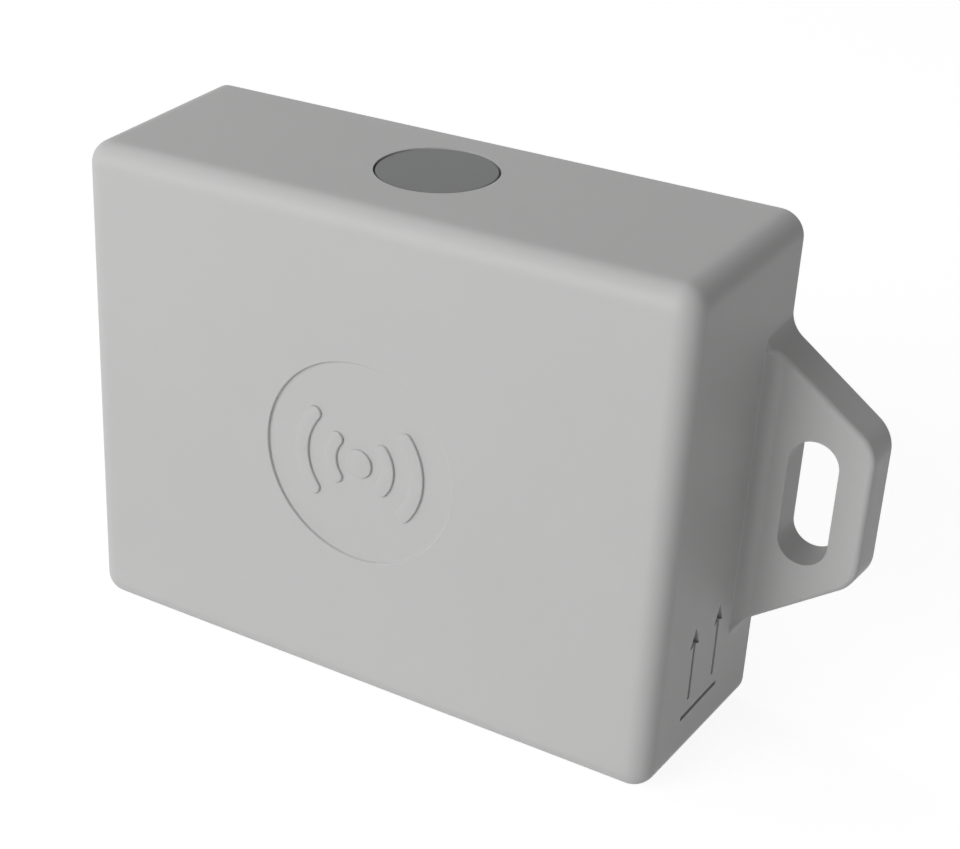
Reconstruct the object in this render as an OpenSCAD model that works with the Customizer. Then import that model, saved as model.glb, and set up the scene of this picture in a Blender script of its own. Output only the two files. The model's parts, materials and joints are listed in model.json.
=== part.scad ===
// Wireless sensor tag: a sealed, battery powered box with two slotted fixing ears.
// Right is +X, the fixing plane at the back is +Y and up is +Z.
// The origin is under the middle of the body, in the plane of its lowest edge.

/* [Body] */
// Width of the box at the fixing plane
body_w = 68; // [66:0.5:84]
// Height of the box at the fixing plane
body_h = 53.7; // [53:0.1:70]
// Depth of the box from its front face to the fixing plane
body_d = 22.4; // [20.6:0.1:27]
// Draft of the four side walls, in degrees
draft = 2.2; // [0.5:0.1:3]
// Radius of the corners and of the front edges
corner_r = 2.45; // [1.8:0.05:3.5]
// Thickness of the moulded walls
wall = 2.2; // [1.9:0.1:2.5]

/* [Fixing ears] */
// How far an ear reaches past the side of the box
ear_reach = 11.3; // [10.5:0.1:14]
// Thickness of an ear
ear_t = 4.4; // [3.4:0.1:6]
// Half height of an ear where its slope would meet the side
ear_root = 15.74; // [13:0.1:19]
// Slope of the long edges of an ear, in degrees from the level
ear_slope = 35.7; // [25:0.1:40]
// Radius of the outer corners of an ear
ear_corner_r = 3.8; // [2.5:0.1:4.5]
// Radius of the hollow corner where an ear leaves the side
ear_root_r = 3; // [2:0.1:4]
// Radius of the front edge of an ear
ear_edge_r = 0.6; // [0.3:0.1:0.8]
// How far the hollow along the root of an ear climbs up the side of the box
root_rise = 1.5; // [1.2:0.1:2.2]
// Lean of the hollow's steep part against the side, in degrees
root_lean = 25; // [15:1:35]
// Radius of the hollow where it runs out on the ear
root_round = 1.25; // [0.8:0.05:1.6]
// Width of a fixing slot
slot_w = 5; // [4.2:0.1:5.4]
// Length of a fixing slot from end to end
slot_l = 13.2; // [10:0.1:15]
// Distance of a slot's middle line from the side of the box
slot_out = 5.4; // [5.2:0.1:6]

/* [Front badge and side mark] */
// Diameter of the round recess in the front face
badge_d = 21.2; // [18:0.1:26]
// Depth of the round recess
badge_depth = 0.35; // [0.3:0.05:0.8]
// Height of the signal ridges above the floor of the recess
ridge_h = 0.3; // [0.2:0.05:0.8]
// Width of a signal ridge
ridge_w = 1.5; // [1:0.1:1.8]
// Diameter of the dot between the signal ridges
dot_d = 3; // [2:0.1:3.6]
// Step from the dot to the first ridge, and from one ridge to the next
ridge_step = 3.3; // [3:0.1:3.6]
// Length of the bar under the two upward arrows
mark_bar = 8; // [6:0.1:9]
// Distance between the two arrows
mark_pitch = 5.3; // [4:0.1:5.6]
// Depth of the engraved lines
mark_depth = 0.65; // [0.2:0.05:0.8]
// Height of the bar above the lowest edge
mark_z = 6.2; // [5:0.1:8]
// Length of an arrow
arrow_l = 8.2; // [6:0.1:9]

/* [Back cover] */
// Thickness of the back cover
cover_t = 2.2; // [2:0.1:2.4]
// Thickness of the rim that the cover sits in
rim = 0.9; // [0.7:0.05:1]
// Gap around the cover
cover_gap = 0.1; // [0.05:0.05:0.2]
// Width of the gasket
gasket_w = 0.7; // [0.5:0.05:0.8]
// Thickness of the gasket under the cover's pressure
gasket_t = 0.6; // [0.4:0.05:0.9]
// Distance of a cover screw from the cavity's walls
screw_inset = 4.3; // [4:0.1:5]
// Outer diameter of a screw boss
boss_d = 6.4; // [6:0.1:7]
// Thread diameter of a cover screw
screw_d = 2.5; // [2.3:0.1:2.6]
// Head diameter of a cover screw
head_d = 4.7; // [4.4:0.1:5]
// Length of a cover screw
screw_l = 7; // [6:0.5:9]
// Outer diameter of a brass insert
insert_d = 4; // [3.6:0.1:4.2]
// Length of a brass insert
insert_l = 4; // [3:0.5:5]

/* [Button] */
// Diameter of the button
button_d = 12; // [9:0.1:12.4]
// Gap around the button
button_gap = 0.2; // [0.15:0.05:0.3]
// Distance of the button's middle from the fixing plane
button_back = 9.4; // [9.2:0.1:10.5]
// Depth of the button's face under the top wall
button_sink = 0.06; // [0.02:0.02:0.3]
// Travel of the button
button_travel = 0.3; // [0.2:0.05:0.4]
// Thickness of the boot's rim
boot_t = 0.8; // [0.6:0.1:1]
// Thickness of the clamp under the boot
clamp_t = 1.2; // [1:0.1:1.6]
// Reach of the boot's plunger under its seat
plunger_l = 3.2; // [2.9:0.1:4]
// Height of the side switch above the board's edge line
switch_h = 4.2; // [3.6:0.1:5]

/* [Circuit board] */
// Thickness of the circuit board
board_t = 1.6; // [1:0.2:1.6]
// Gap between the board and the inner walls
board_gap = 0.6; // [0.4:0.1:1]
// Thread diameter of a board screw
board_screw_d = 2; // [1.6:0.1:2.2]

/* [Battery] */
// Diameter of a cell
cell_d = 10.5; // [10:0.1:10.6]
// Length of a cell with its button
cell_l = 44.5; // [43:0.5:45]
// Distance between the two cells' axes
cell_pitch = 11.3; // [11.1:0.1:11.6]
// Thickness of the holder's floor
holder_floor = 0.8; // [0.6:0.1:0.9]
// Thickness of the holder's walls
holder_wall = 1.1; // [0.8:0.1:1.2]
// Length of a battery spring as fitted
spring_l = 2.8; // [2.4:0.1:3.2]
// Thickness of a battery contact plate
plate_t = 0.3; // [0.2:0.05:0.4]
// Thickness of the foam between the cells and the cover
pad_t = 0.9; // [0.6:0.1:1.2]

/* [Hidden] */
$fn = 64;
HULL_FN = 32;
SLIVER = 0.01;
OVER = 1;

// Stations along the depth, from front to back
slant = tan(draft);
front_y = -body_d / 2;
back_y = body_d / 2;
inner_front_y = front_y + wall;
cover_in_y = back_y - cover_t;
cell_back_y = cover_in_y - pad_t;
cell_y = cell_back_y - cell_d / 2;
cell_gap = 0.1;
board_back_y = cell_y - cell_d / 2 - cell_gap - holder_floor;
board_front_y = board_back_y - board_t;
board_screw_end = 0.7;
board_screw_l = board_back_y - inner_front_y - board_screw_end;
button_y = back_y - button_back;

// The straight cavity: its walls have their stated thickness where the drafted front is narrowest
mid_z = body_h / 2;
draft_in = body_d * slant;
cavity_w = body_w - 2 * wall - 2 * draft_in;
cavity_h = body_h - 2 * wall - 2 * draft_in;
cavity_r = 1;
seat_z = mid_z + cavity_h / 2;

// Cover, gasket and screws
pocket_w = body_w - 2 * rim;
pocket_h = body_h - 2 * rim;
pocket_r = corner_r - rim;
gasket_inset = (wall - rim) / 2;
gasket_side_gap = 0.05;
boss_x = cavity_w / 2 - screw_inset;
boss_z = cavity_h / 2 - screw_inset;
fit_gap = 0.05;
head_sink = 0.15;
rib_t = 1.2;
rib_y = cover_in_y - 1;
SCREWS = [for (sx = [-1, 1], sz = [-1, 1]) [sx * boss_x, sz * boss_z]];

// Button, boot and switch
bore_d = button_d + 2 * button_gap;
flange_over = 1.5;
flange_r = bore_d / 2 + flange_over;
boot_lift = 0.5;
web_t = 0.4;
core_r = button_d / 2 - 1.3;
plunger_r = 1.9;
clamp_r = flange_r + 1;
clamp_hole_r = core_r + 0.8;
back_gap = 0.3;
stake_x = clamp_r + 1.8;
stake_r = 0.8;
stake_head_r = 1.3;
stake_head_h = 0.6;
lobe_r = 2;
plunger_tip_z = seat_z - plunger_l;
stem_r = 1.6;
stem_out = 1.6;
stem_in = 1.2;
switch_top_z = plunger_tip_z - stem_out;
switch_w = 6.6;
switch_over = 2.6;

// Battery
trough_r = cell_d / 2 + 0.15;
holder_in_l = cell_l + spring_l + 2 * plate_t;
holder_l = holder_in_l + 2 * holder_wall;
holder_h = cell_pitch + 2 * trough_r + 2 * holder_wall;
cell_shift = spring_l / 2;
holder_z = -3.8;
nub_r = 1.9;
nub_l = 1.2;
cap_r = 3.9;
plate_w = 7;
pad_w = 30;
pad_over = 3;
pad_h = cell_pitch + 2 * pad_over;

// Board
board_w = cavity_w - 2 * board_gap;
board_low_z = mid_z - cavity_h / 2 + board_gap;
board_high_z = seat_z - boot_t - clamp_t - stake_head_h - board_gap;
notch_x = boss_x - boss_d / 2 - board_gap;
notch_z = boss_z - boss_d / 2 - board_gap;
post_d = 4.6;
post_x_low = 14;
post_x_high = 17;
post_edge = 3;
post_up = 5.2;
POSTS = [
  [-post_x_low, board_low_z + post_edge - mid_z], [post_x_low, board_low_z + post_edge - mid_z],
  [-post_x_high, holder_z + holder_h / 2 + post_up], [post_x_high, holder_z + holder_h / 2 + post_up]
];

// Parts on the board: places from the body's middle, then width, height and thickness
radio_at = [-6, 8];
radio_size = [14, 18, 0.8];
can_size = [12, 12, 0.9];
can_edge = 0.8;
antenna_size = [7, 2, 0.9];
antenna_in = 1.6;
motion_at = [8, -8];
motion_size = [3, 3, 1];
warmth_at = [14, 2];
warmth_size = [2.5, 2.5, 0.9];
magnet_at = [20, -8];
magnet_size = [2.9, 1.6, 1.1];
crystal_at = [4, 4];
crystal_size = [3.2, 2.5, 0.8];
bulk_x = -9.5;
bulk_up = 1.6;
bulk_d = 6.3;
bulk_l = 7;
bulk_foot_t = 0.8;
chip_size = [0.8, 1.6, 0.8];
chip_pitch = 2.4;
CHIP_ROWS = [[5, 10, 5], [-14, -10, 4]];
header_x = 10;
header_up = 4;
header_t = 4.3;
header_end = 0.9;
pin_pitch = 1.27;
socket_r = 0.25;
socket_end = 1;

// Points and radius of the outline of an ear, measured from the side of the box
ear_m = tan(ear_slope);
ear_k = sqrt(1 + ear_m * ear_m);
ear_corner_x = ear_reach - ear_corner_r;
ear_corner_z = ear_root - ear_m * ear_corner_x - ear_corner_r * ear_k;
ear_root_z = ear_root + ear_root_r * (ear_k - ear_m);
ear_root_end = [ear_root_r - ear_root_r * ear_m / ear_k, ear_root_z - ear_root_r / ear_k];
ear_in = 1.2;
ear_front_y = back_y - ear_t;
root_y = ear_front_y - root_rise;
root_run = root_rise * tan(root_lean) + root_round * tan(45 - root_lean / 2);
root_axis = [root_run, ear_front_y + SLIVER - root_round];
slot_x = body_w / 2 + slot_out;
EDGE_STEPS = 3;

// Half width of the box at a depth
function side_x(y) = body_w / 2 - slant * (back_y - y);

// Height of the top wall's outer face at a depth
function top_z(y) = body_h - slant * (back_y - y);

// A flat outline with round corners, drawn across the width and the height
module round_rect(w, h, r) {
  square([w - 2 * r, h], center = true);
  square([w, h - 2 * r], center = true);
  for (sx = [-1, 1], sy = [-1, 1]) {
    translate([sx * (w / 2 - r), sy * (h / 2 - r)]) circle(r);
  }
}

// Gives an outline its depth from y0 back to y1, round the middle of the body
module slab(y0, y1) {
  translate([0, y1, mid_z]) rotate([90, 0, 0]) linear_extrude(y1 - y0) children();
}

// A rod along the depth at one place of the width and the height above mid height
module rod(x, z, r, y0, y1) {
  translate([x, y0, mid_z + z]) rotate([-90, 0, 0]) cylinder(r = r, h = y1 - y0);
}

// A block between two corners
module block(a, b) {
  translate(a) cube(b - a);
}

// Both sides of the body
module both_sides() {
  children();
  mirror([1, 0, 0]) children();
}

// The drafted outer form: a ball in each front corner and a disc in each back corner
module skin() {
  lean = corner_r * sqrt(1 + slant * slant);
  ball_y = front_y + corner_r;
  ball_x = side_x(ball_y) - lean;
  ball_z = top_z(ball_y) - lean - mid_z;
  hull() {
    for (sx = [-1, 1], sz = [-1, 1]) {
      translate([sx * ball_x, ball_y, mid_z + sz * ball_z])
        sphere(r = corner_r / cos(180 / HULL_FN), $fn = HULL_FN);
      translate([sx * (body_w / 2 - corner_r), back_y - SLIVER, mid_z + sz * (body_h / 2 - corner_r)])
        rotate([-90, 0, 0]) cylinder(r = corner_r, h = SLIVER, $fn = HULL_FN);
    }
  }
}

// One layer of the plain ear, from y to the fixing plane, with its free edges drawn in by an inset
module ear_layer(inset, y) {
  root_z = ear_root + ear_m * ear_in - inset * ear_k;
  translate([body_w / 2, back_y, mid_z]) rotate([90, 0, 0]) linear_extrude(back_y - y) {
    polygon([[-ear_in, -root_z], [0, 0], [-ear_in, root_z]]);
    for (sz = [-1, 1]) {
      translate([ear_corner_x, sz * ear_corner_z]) circle(ear_corner_r - inset, $fn = HULL_FN);
    }
  }
}

// The plain ear with its rounded front edge
module ear_plate() {
  hull() {
    for (i = [0:EDGE_STEPS]) {
      turn = 90 * i / EDGE_STEPS;
      ear_layer(ear_edge_r * (1 - sin(turn)), ear_front_y + ear_edge_r * (1 - cos(turn)));
    }
  }
}

// The hollow corner above and below an ear, from y0 to the fixing plane
module ear_root_corners(y0) {
  for (sz = [-1, 1]) {
    translate([body_w / 2, back_y, mid_z]) rotate([90, 0, 0]) linear_extrude(back_y - y0)
      difference() {
        polygon([
          [-ear_in, sz * (ear_root_end[1] - ear_in)], [-ear_in, sz * ear_root_z], [0, sz * ear_root_z],
          [ear_root_end[0], sz * ear_root_end[1]]
        ]);
        translate([ear_root_r, sz * ear_root_z]) circle(ear_root_r);
      }
  }
}

// The hollow along the root of an ear: a steep face at the box, then a round one that ends on the ear
module ear_root_hollow() {
  meet = root_axis + (root_round - SLIVER) * [-cos(root_lean), sin(root_lean)];
  intersection() {
    translate([side_x(root_y), 0, mid_z - ear_root_z]) difference() {
      linear_extrude(2 * ear_root_z)
        polygon([
          [-ear_in, root_y], [0, root_y], meet,
          [root_run, ear_front_y + SLIVER], [-ear_in, ear_front_y + SLIVER]
        ]);
      translate([root_axis[0], root_axis[1], -OVER])
        cylinder(r = root_round, h = 2 * ear_root_z + 2 * OVER);
    }
    union() {
      translate([body_w / 2, back_y, mid_z]) rotate([90, 0, 0]) linear_extrude(body_d)
        polygon([
          [-ear_in, -ear_root - ear_m * ear_in], [ear_reach, -ear_root + ear_m * ear_reach],
          [ear_reach, ear_root - ear_m * ear_reach], [-ear_in, ear_root + ear_m * ear_in]
        ]);
      ear_root_corners(front_y);
    }
  }
}

module fixing_ear() {
  ear_plate();
  ear_root_corners(ear_front_y);
  ear_root_hollow();
}

// A slot is two bores and the block between them
module fixing_slot() {
  half = slot_l / 2 - slot_w / 2;
  for (sz = [-1, 1]) {
    rod(slot_x, sz * half, slot_w / 2, root_y - OVER, back_y + OVER);
  }
  block(
    [slot_x - slot_w / 2, root_y - OVER, mid_z - half],
    [slot_x + slot_w / 2, back_y + OVER, mid_z + half]
  );
}

// The raised dot and arcs on the floor of the front recess
module signal_ridges() {
  span = 76;
  translate([0, front_y + badge_depth, mid_z]) rotate([90, 0, 0]) {
    cylinder(r = dot_d / 2, h = ridge_h);
    for (ring = [1, 2], side = [0, 180]) {
      rotate([0, 0, side - span / 2]) rotate_extrude(angle = span)
        translate([ring * ridge_step - ridge_w / 2, 0]) square([ridge_w, ridge_h]);
      for (end = [-1, 1]) {
        rotate([0, 0, side + end * span / 2]) translate([ring * ridge_step, 0, 0])
          cylinder(r = ridge_w / 2, h = ridge_h);
      }
    }
  }
}

// One upward arrow of the side mark, with its foot at the origin
module arrow() {
  shaft_w = 0.5;
  head_w = 2;
  head_l = 2.2;
  barb = 0.4;
  translate([-shaft_w / 2, 0]) square([shaft_w, arrow_l - head_l + barb]);
  polygon([
    [0, arrow_l], [-head_w / 2, arrow_l - head_l], [0, arrow_l - head_l + barb],
    [head_w / 2, arrow_l - head_l]
  ]);
}

// The engraved mark on the right side wall: two arrows over a bar
module side_mark() {
  line_w = 0.5;
  arrow_lift = 1.65;
  mark_y = -0.4;
  translate([side_x(mark_y), mark_y, mark_z]) rotate([0, 0, -draft]) translate([-mark_depth, 0, 0])
    rotate([90, 0, 90]) linear_extrude(mark_depth + OVER) {
      translate([-mark_bar / 2, -line_w / 2]) square([mark_bar, line_w]);
      for (s = [-1, 1]) {
        translate([s * mark_pitch / 2, arrow_lift]) arrow();
      }
    }
}

// The hollow inside, with the pocket that the back cover sits in
module cavity() {
  slab(inner_front_y, cover_in_y + OVER) round_rect(cavity_w, cavity_h, cavity_r);
  slab(cover_in_y, back_y + OVER) round_rect(pocket_w, pocket_h, pocket_r);
}

// Posts that the clamp is staked on, with their melted heads
module clamp_stakes() {
  for (sx = [-1, 1]) {
    translate([sx * stake_x, button_y, seat_z - boot_t - clamp_t - SLIVER])
      cylinder(r = stake_r, h = boot_t + clamp_t + SLIVER + wall / 2);
    translate([sx * stake_x, button_y, seat_z - boot_t - clamp_t - stake_head_h])
      cylinder(r = stake_head_r, h = stake_head_h);
  }
}

// A screw boss with two ribs to the walls
module screw_boss(x, z) {
  rod(x, z, boss_d / 2, inner_front_y - SLIVER, cover_in_y);
  block(
    [min(x, sign(x) * (cavity_w / 2 + SLIVER)), inner_front_y - SLIVER, mid_z + z - rib_t / 2],
    [max(x, sign(x) * (cavity_w / 2 + SLIVER)), rib_y, mid_z + z + rib_t / 2]
  );
  block(
    [x - rib_t / 2, inner_front_y - SLIVER, mid_z + min(z, sign(z) * (cavity_h / 2 + SLIVER))],
    [x + rib_t / 2, rib_y, mid_z + max(z, sign(z) * (cavity_h / 2 + SLIVER))]
  );
}

module case() {
  color([0.75, 0.75, 0.75]) difference() {
    union() {
      difference() {
        union() {
          skin();
          both_sides() fixing_ear();
        }
        cavity();
        rod(0, 0, badge_d / 2, front_y - OVER, front_y + badge_depth);
        side_mark();
        both_sides() fixing_slot();
      }
      signal_ridges();
      clamp_stakes();
      for (p = SCREWS) {
        screw_boss(p[0], p[1]);
      }
      for (p = POSTS) {
        rod(p[0], p[1], post_d / 2, inner_front_y - SLIVER, board_front_y);
      }
    }
    translate([0, button_y, seat_z - OVER]) cylinder(r = bore_d / 2, h = wall + draft_in + 2 * OVER);
    for (p = SCREWS) {
      rod(p[0], p[1], insert_d / 2 + fit_gap, cover_in_y - insert_l, cover_in_y + OVER);
      rod(p[0], p[1], screw_d / 2 + 4 * fit_gap, back_y - screw_l - OVER, cover_in_y);
    }
    for (p = POSTS) {
      screw_end_y = board_back_y - board_screw_l - fit_gap;
      rod(p[0], p[1], board_screw_d / 2 + fit_gap, screw_end_y, board_front_y + OVER);
    }
  }
}

// The cone and shank of a cover screw, grown by a gap for the hole that it sits in
module screw_form(p, gap) {
  cone_h = (head_d - screw_d) / 2;
  translate([p[0], back_y - head_sink, mid_z + p[1]]) rotate([90, 0, 0])
    cylinder(r1 = head_d / 2 + gap, r2 = screw_d / 2 + gap, h = cone_h);
  rod(p[0], p[1], screw_d / 2 + gap, back_y - head_sink - screw_l, back_y - head_sink);
}

module gasket_ring(gap, y0, y1) {
  difference() {
    slab(y0, y1) round_rect(
      pocket_w - 2 * gasket_inset + gasket_w + 2 * gap, pocket_h - 2 * gasket_inset + gasket_w + 2 * gap,
      pocket_r - gasket_inset + gasket_w / 2 + gap
    );
    slab(y0 - OVER, y1 + OVER) round_rect(
      pocket_w - 2 * gasket_inset - gasket_w - 2 * gap, pocket_h - 2 * gasket_inset - gasket_w - 2 * gap,
      pocket_r - gasket_inset - gasket_w / 2 - gap
    );
  }
}

module back_cover() {
  color([0.75, 0.75, 0.75]) difference() {
    slab(cover_in_y, back_y) round_rect(
      pocket_w - 2 * cover_gap, pocket_h - 2 * cover_gap, pocket_r - cover_gap
    );
    gasket_ring(gasket_side_gap, cover_in_y - OVER, cover_in_y + gasket_t);
    for (p = SCREWS) {
      screw_form(p, 2 * fit_gap);
      rod(p[0], p[1], head_d / 2 + 2 * fit_gap, back_y - head_sink, back_y + OVER);
      rod(p[0], p[1], screw_d / 2 + 2 * fit_gap, cover_in_y - OVER, back_y);
    }
  }
}

module cover_gasket() {
  color([0.13, 0.13, 0.14]) gasket_ring(0, cover_in_y, cover_in_y + gasket_t);
}

module cover_screws() {
  socket_d = 1.5;
  socket_depth = 0.9;
  color([0.62, 0.63, 0.65]) for (p = SCREWS) {
    difference() {
      screw_form(p, 0);
      rod(p[0], p[1], socket_d / 2, back_y - head_sink - socket_depth, back_y);
    }
  }
}

module thread_inserts() {
  color([0.78, 0.62, 0.3]) for (p = SCREWS) {
    difference() {
      rod(p[0], p[1], insert_d / 2, cover_in_y - insert_l, cover_in_y - fit_gap);
      rod(p[0], p[1], screw_d / 2 + fit_gap, cover_in_y - insert_l - OVER, cover_in_y + OVER);
    }
  }
}

// Keeps what lies far enough in front of the cover
module front_of_cover() {
  intersection() {
    children();
    block([-body_w, front_y, -OVER], [body_w, cover_in_y - back_gap, body_h + OVER]);
  }
}

// The button's face is cut parallel to the drafted top wall
module button_cap() {
  cap_low_z = seat_z + boot_lift;
  color([0.42, 0.43, 0.44]) difference() {
    translate([0, button_y, cap_low_z]) cylinder(r = button_d / 2, h = wall + draft_in + OVER);
    translate([0, back_y, body_h - button_sink]) rotate([draft, 0, 0])
      translate([-body_w / 2, -2 * body_d, 0]) cube([body_w, 3 * body_d, wall + draft_in + 2 * OVER]);
  }
}

// Silicone boot: clamped rim, thin web, a core under the button and a plunger
module button_boot() {
  web_r = bore_d / 2 - 0.3;
  color([0.2, 0.2, 0.21]) front_of_cover() translate([0, button_y, seat_z]) rotate_extrude()
    polygon([
      [0, -plunger_l], [plunger_r, -plunger_l], [plunger_r, -boot_t], [flange_r, -boot_t], [flange_r, 0],
      [web_r, 0], [web_r, web_t - boot_t], [core_r, web_t - boot_t], [core_r, boot_lift], [0, boot_lift]
    ]);
}

// Flat clamp under the boot's rim, held by two stakes
module boot_clamp() {
  place = [0, button_y, seat_z - boot_t - clamp_t];
  color([0.3, 0.31, 0.33]) front_of_cover() translate(place) difference() {
    union() {
      cylinder(r = clamp_r, h = clamp_t);
      for (sx = [-1, 1]) {
        translate([sx * stake_x, 0, 0]) cylinder(r = lobe_r, h = clamp_t);
      }
      block([-stake_x, -lobe_r, 0], [stake_x, lobe_r, clamp_t]);
    }
    translate([0, 0, -OVER]) cylinder(r = clamp_hole_r, h = clamp_t + 2 * OVER);
    for (sx = [-1, 1]) {
      translate([sx * stake_x, 0, -OVER]) cylinder(r = stake_r + fit_gap, h = clamp_t + 2 * OVER);
    }
  }
}

// Side operated switch that stands on the board, with its legs
module side_switch() {
  leg_w = 0.7;
  leg_out = 1.2;
  color([0.12, 0.12, 0.13]) {
    difference() {
      block(
        [-switch_w / 2, board_back_y, switch_top_z - switch_h],
        [switch_w / 2, button_y + switch_over, switch_top_z]
      );
      translate([0, button_y, switch_top_z - stem_in - 2 * button_travel])
        cylinder(r = stem_r + 2 * fit_gap, h = stem_in + 2 * button_travel + OVER);
    }
    for (x = [-switch_w / 2 - leg_out, switch_w / 2]) {
      block(
        [x, board_back_y, switch_top_z - switch_h],
        [x + leg_out, board_back_y + leg_w, switch_top_z - switch_h + leg_out]
      );
    }
  }
}

module switch_stem() {
  color([0.85, 0.85, 0.82]) translate([0, button_y, switch_top_z - stem_in])
    cylinder(r = stem_r, h = stem_in + stem_out);
}

module circuit_board() {
  color([0.1, 0.32, 0.2]) difference() {
    block([-board_w / 2, board_front_y, board_low_z], [board_w / 2, board_back_y, board_high_z]);
    for (sx = [-1, 1], sz = [-1, 1]) {
      translate([sx * (notch_x + board_w / 2), 0, mid_z + sz * (notch_z + body_h / 2)])
        cube([board_w, body_d, body_h], center = true);
    }
    for (p = POSTS) {
      rod(p[0], p[1], board_screw_d / 2 + 2 * fit_gap, board_front_y - OVER, board_back_y + OVER);
    }
  }
}

module board_screws() {
  pan_r = board_screw_d * 0.95;
  pan_h = board_screw_d * 0.6;
  cross_r = board_screw_d * 0.3;
  color([0.62, 0.63, 0.65]) for (p = POSTS) {
    difference() {
      union() {
        rod(p[0], p[1], pan_r, board_back_y, board_back_y + pan_h);
        rod(p[0], p[1], board_screw_d / 2, board_back_y - board_screw_l, board_back_y + SLIVER);
      }
      rod(p[0], p[1], cross_r, board_back_y + pan_h / 2, board_back_y + pan_h + OVER);
    }
  }
}

// Height of each cell's axis above mid height
function cell_z(upper) = holder_z + (upper ? 1 : -1) * cell_pitch / 2;

module battery_holder() {
  wall_y = cell_y + 1;
  end_y = cell_y + cell_d / 4;
  thumb_r = 9;
  color([0.16, 0.16, 0.17]) difference() {
    union() {
      block(
        [-holder_l / 2, board_back_y, mid_z + holder_z - holder_h / 2],
        [holder_l / 2, wall_y, mid_z + holder_z + holder_h / 2]
      );
      for (sx = [-1, 1]) {
        translate([sx * (holder_l - holder_wall) / 2, (board_back_y + end_y) / 2, mid_z + holder_z])
          cube([holder_wall, end_y - board_back_y, holder_h], center = true);
      }
    }
    for (upper = [true, false]) {
      translate([-holder_in_l / 2, cell_y, mid_z + cell_z(upper)]) rotate([0, 90, 0])
        cylinder(r = trough_r, h = holder_in_l);
      block(
        [-holder_in_l / 2, cell_y, mid_z + cell_z(upper) - trough_r],
        [holder_in_l / 2, wall_y + OVER, mid_z + cell_z(upper) + trough_r]
      );
    }
    translate([0, wall_y + thumb_r * 0.6, mid_z + holder_z - holder_h])
      cylinder(r = thumb_r, h = 2 * holder_h);
  }
}

// A cell with its button on the right
module cell() {
  bead = 0.5;
  rotate([0, 90, 0]) rotate_extrude()
    polygon([
      [0, 0], [cap_r, 0], [cap_r + bead, bead / 2],
      [cell_d / 2 - bead / 2, bead / 2], [cell_d / 2, bead],
      [cell_d / 2, cell_l - nub_l - bead], [cell_d / 2 - bead, cell_l - nub_l], [nub_r, cell_l - nub_l],
      [nub_r, cell_l], [0, cell_l]
    ]);
}

module battery_upper() {
  color([0.2, 0.32, 0.45]) translate([cell_shift - cell_l / 2, cell_y, mid_z + cell_z(true)]) cell();
}

module battery_lower() {
  color([0.2, 0.32, 0.45]) mirror([1, 0, 0])
    translate([cell_shift - cell_l / 2, cell_y, mid_z + cell_z(false)]) cell();
}

// Points of a conical spring along the width: it widens from the cell to the plate
SPRING_TURNS = 3;
SPRING_STEPS = 14;
SPRING_SIDES = 6;
spring_wire_r = 0.25;
spring_big_r = 3.1;
spring_small_r = 2;
spring_count = SPRING_TURNS * SPRING_STEPS;
function spring_at(i) = let (f = i / spring_count, a = 360 * SPRING_TURNS * f, r = spring_big_r
  + (spring_small_r - spring_big_r) * f) [
    spring_wire_r + (spring_l - 2 * spring_wire_r) * f, r * cos(a), r * sin(a)
  ];
function spring_ring(i) = let (c = spring_at(i), a = 360 * i / SPRING_STEPS) [
  for (k = [0:SPRING_SIDES - 1]) let (b = 360 * k / SPRING_SIDES) c
    + spring_wire_r * [sin(b), cos(b) * cos(a), cos(b) * sin(a)]
];

module spring() {
  points = [for (i = [0:spring_count]) each spring_ring(i)];
  sides = [
    for (i = [0:spring_count - 1], k = [0:SPRING_SIDES - 1])
      let (a = i * SPRING_SIDES, n = (k + 1) % SPRING_SIDES)
      each [[a + k, a + n, a + SPRING_SIDES + n], [a + k, a + SPRING_SIDES + n, a + SPRING_SIDES + k]]
  ];
  last = spring_count * SPRING_SIDES;
  ends = [
    for (k = [1:SPRING_SIDES - 2]) each [[0, k + 1, k], [last, last + k, last + k + 1]]
  ];
  polyhedron(points, concat(sides, ends));
}

module battery_springs() {
  color([0.72, 0.72, 0.7]) {
    translate([plate_t - holder_in_l / 2, cell_y, mid_z + cell_z(true)]) spring();
    mirror([1, 0, 0]) translate([plate_t - holder_in_l / 2, cell_y, mid_z + cell_z(false)]) spring();
  }
}

module battery_contacts() {
  color([0.75, 0.74, 0.7]) for (sx = [-1, 1], upper = [true, false]) {
    translate([sx * (holder_in_l - plate_t) / 2, cell_y, mid_z + cell_z(upper)])
      cube([plate_t, plate_w, plate_w], center = true);
  }
}

// Foam strip on the cover that keeps the cells in their troughs
module battery_pad() {
  color([0.25, 0.25, 0.27]) block(
    [-pad_w / 2, cell_back_y + fit_gap, mid_z + holder_z - pad_h / 2],
    [pad_w / 2, cover_in_y, mid_z + holder_z + pad_h / 2]
  );
}

// A part soldered on the front face of the board, at a middle point, with its three sizes
module on_front(at, size) {
  block(
    [at[0] - size[0] / 2, board_front_y - size[2], mid_z + at[1] - size[1] / 2],
    [at[0] + size[0] / 2, board_front_y, mid_z + at[1] + size[1] / 2]
  );
}

// A part soldered on the back face of the board
module on_back(at, size) {
  block(
    [at[0] - size[0] / 2, board_back_y, mid_z + at[1] - size[1] / 2],
    [at[0] + size[0] / 2, board_back_y + size[2], mid_z + at[1] + size[1] / 2]
  );
}

module radio_module() {
  color([0.08, 0.22, 0.3]) on_front(radio_at, radio_size);
}

module shield_can() {
  color([0.78, 0.78, 0.76]) translate([0, -radio_size[2], 0])
    on_front(radio_at - [0, (radio_size[1] - can_size[1]) / 2 - can_edge], can_size);
}

module chip_antenna() {
  color([0.85, 0.83, 0.75]) translate([0, -radio_size[2], 0])
    on_front(radio_at + [0, radio_size[1] / 2 - antenna_in], antenna_size);
}

module motion_sensor() {
  color([0.1, 0.1, 0.11]) on_front(motion_at, motion_size);
}

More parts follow.
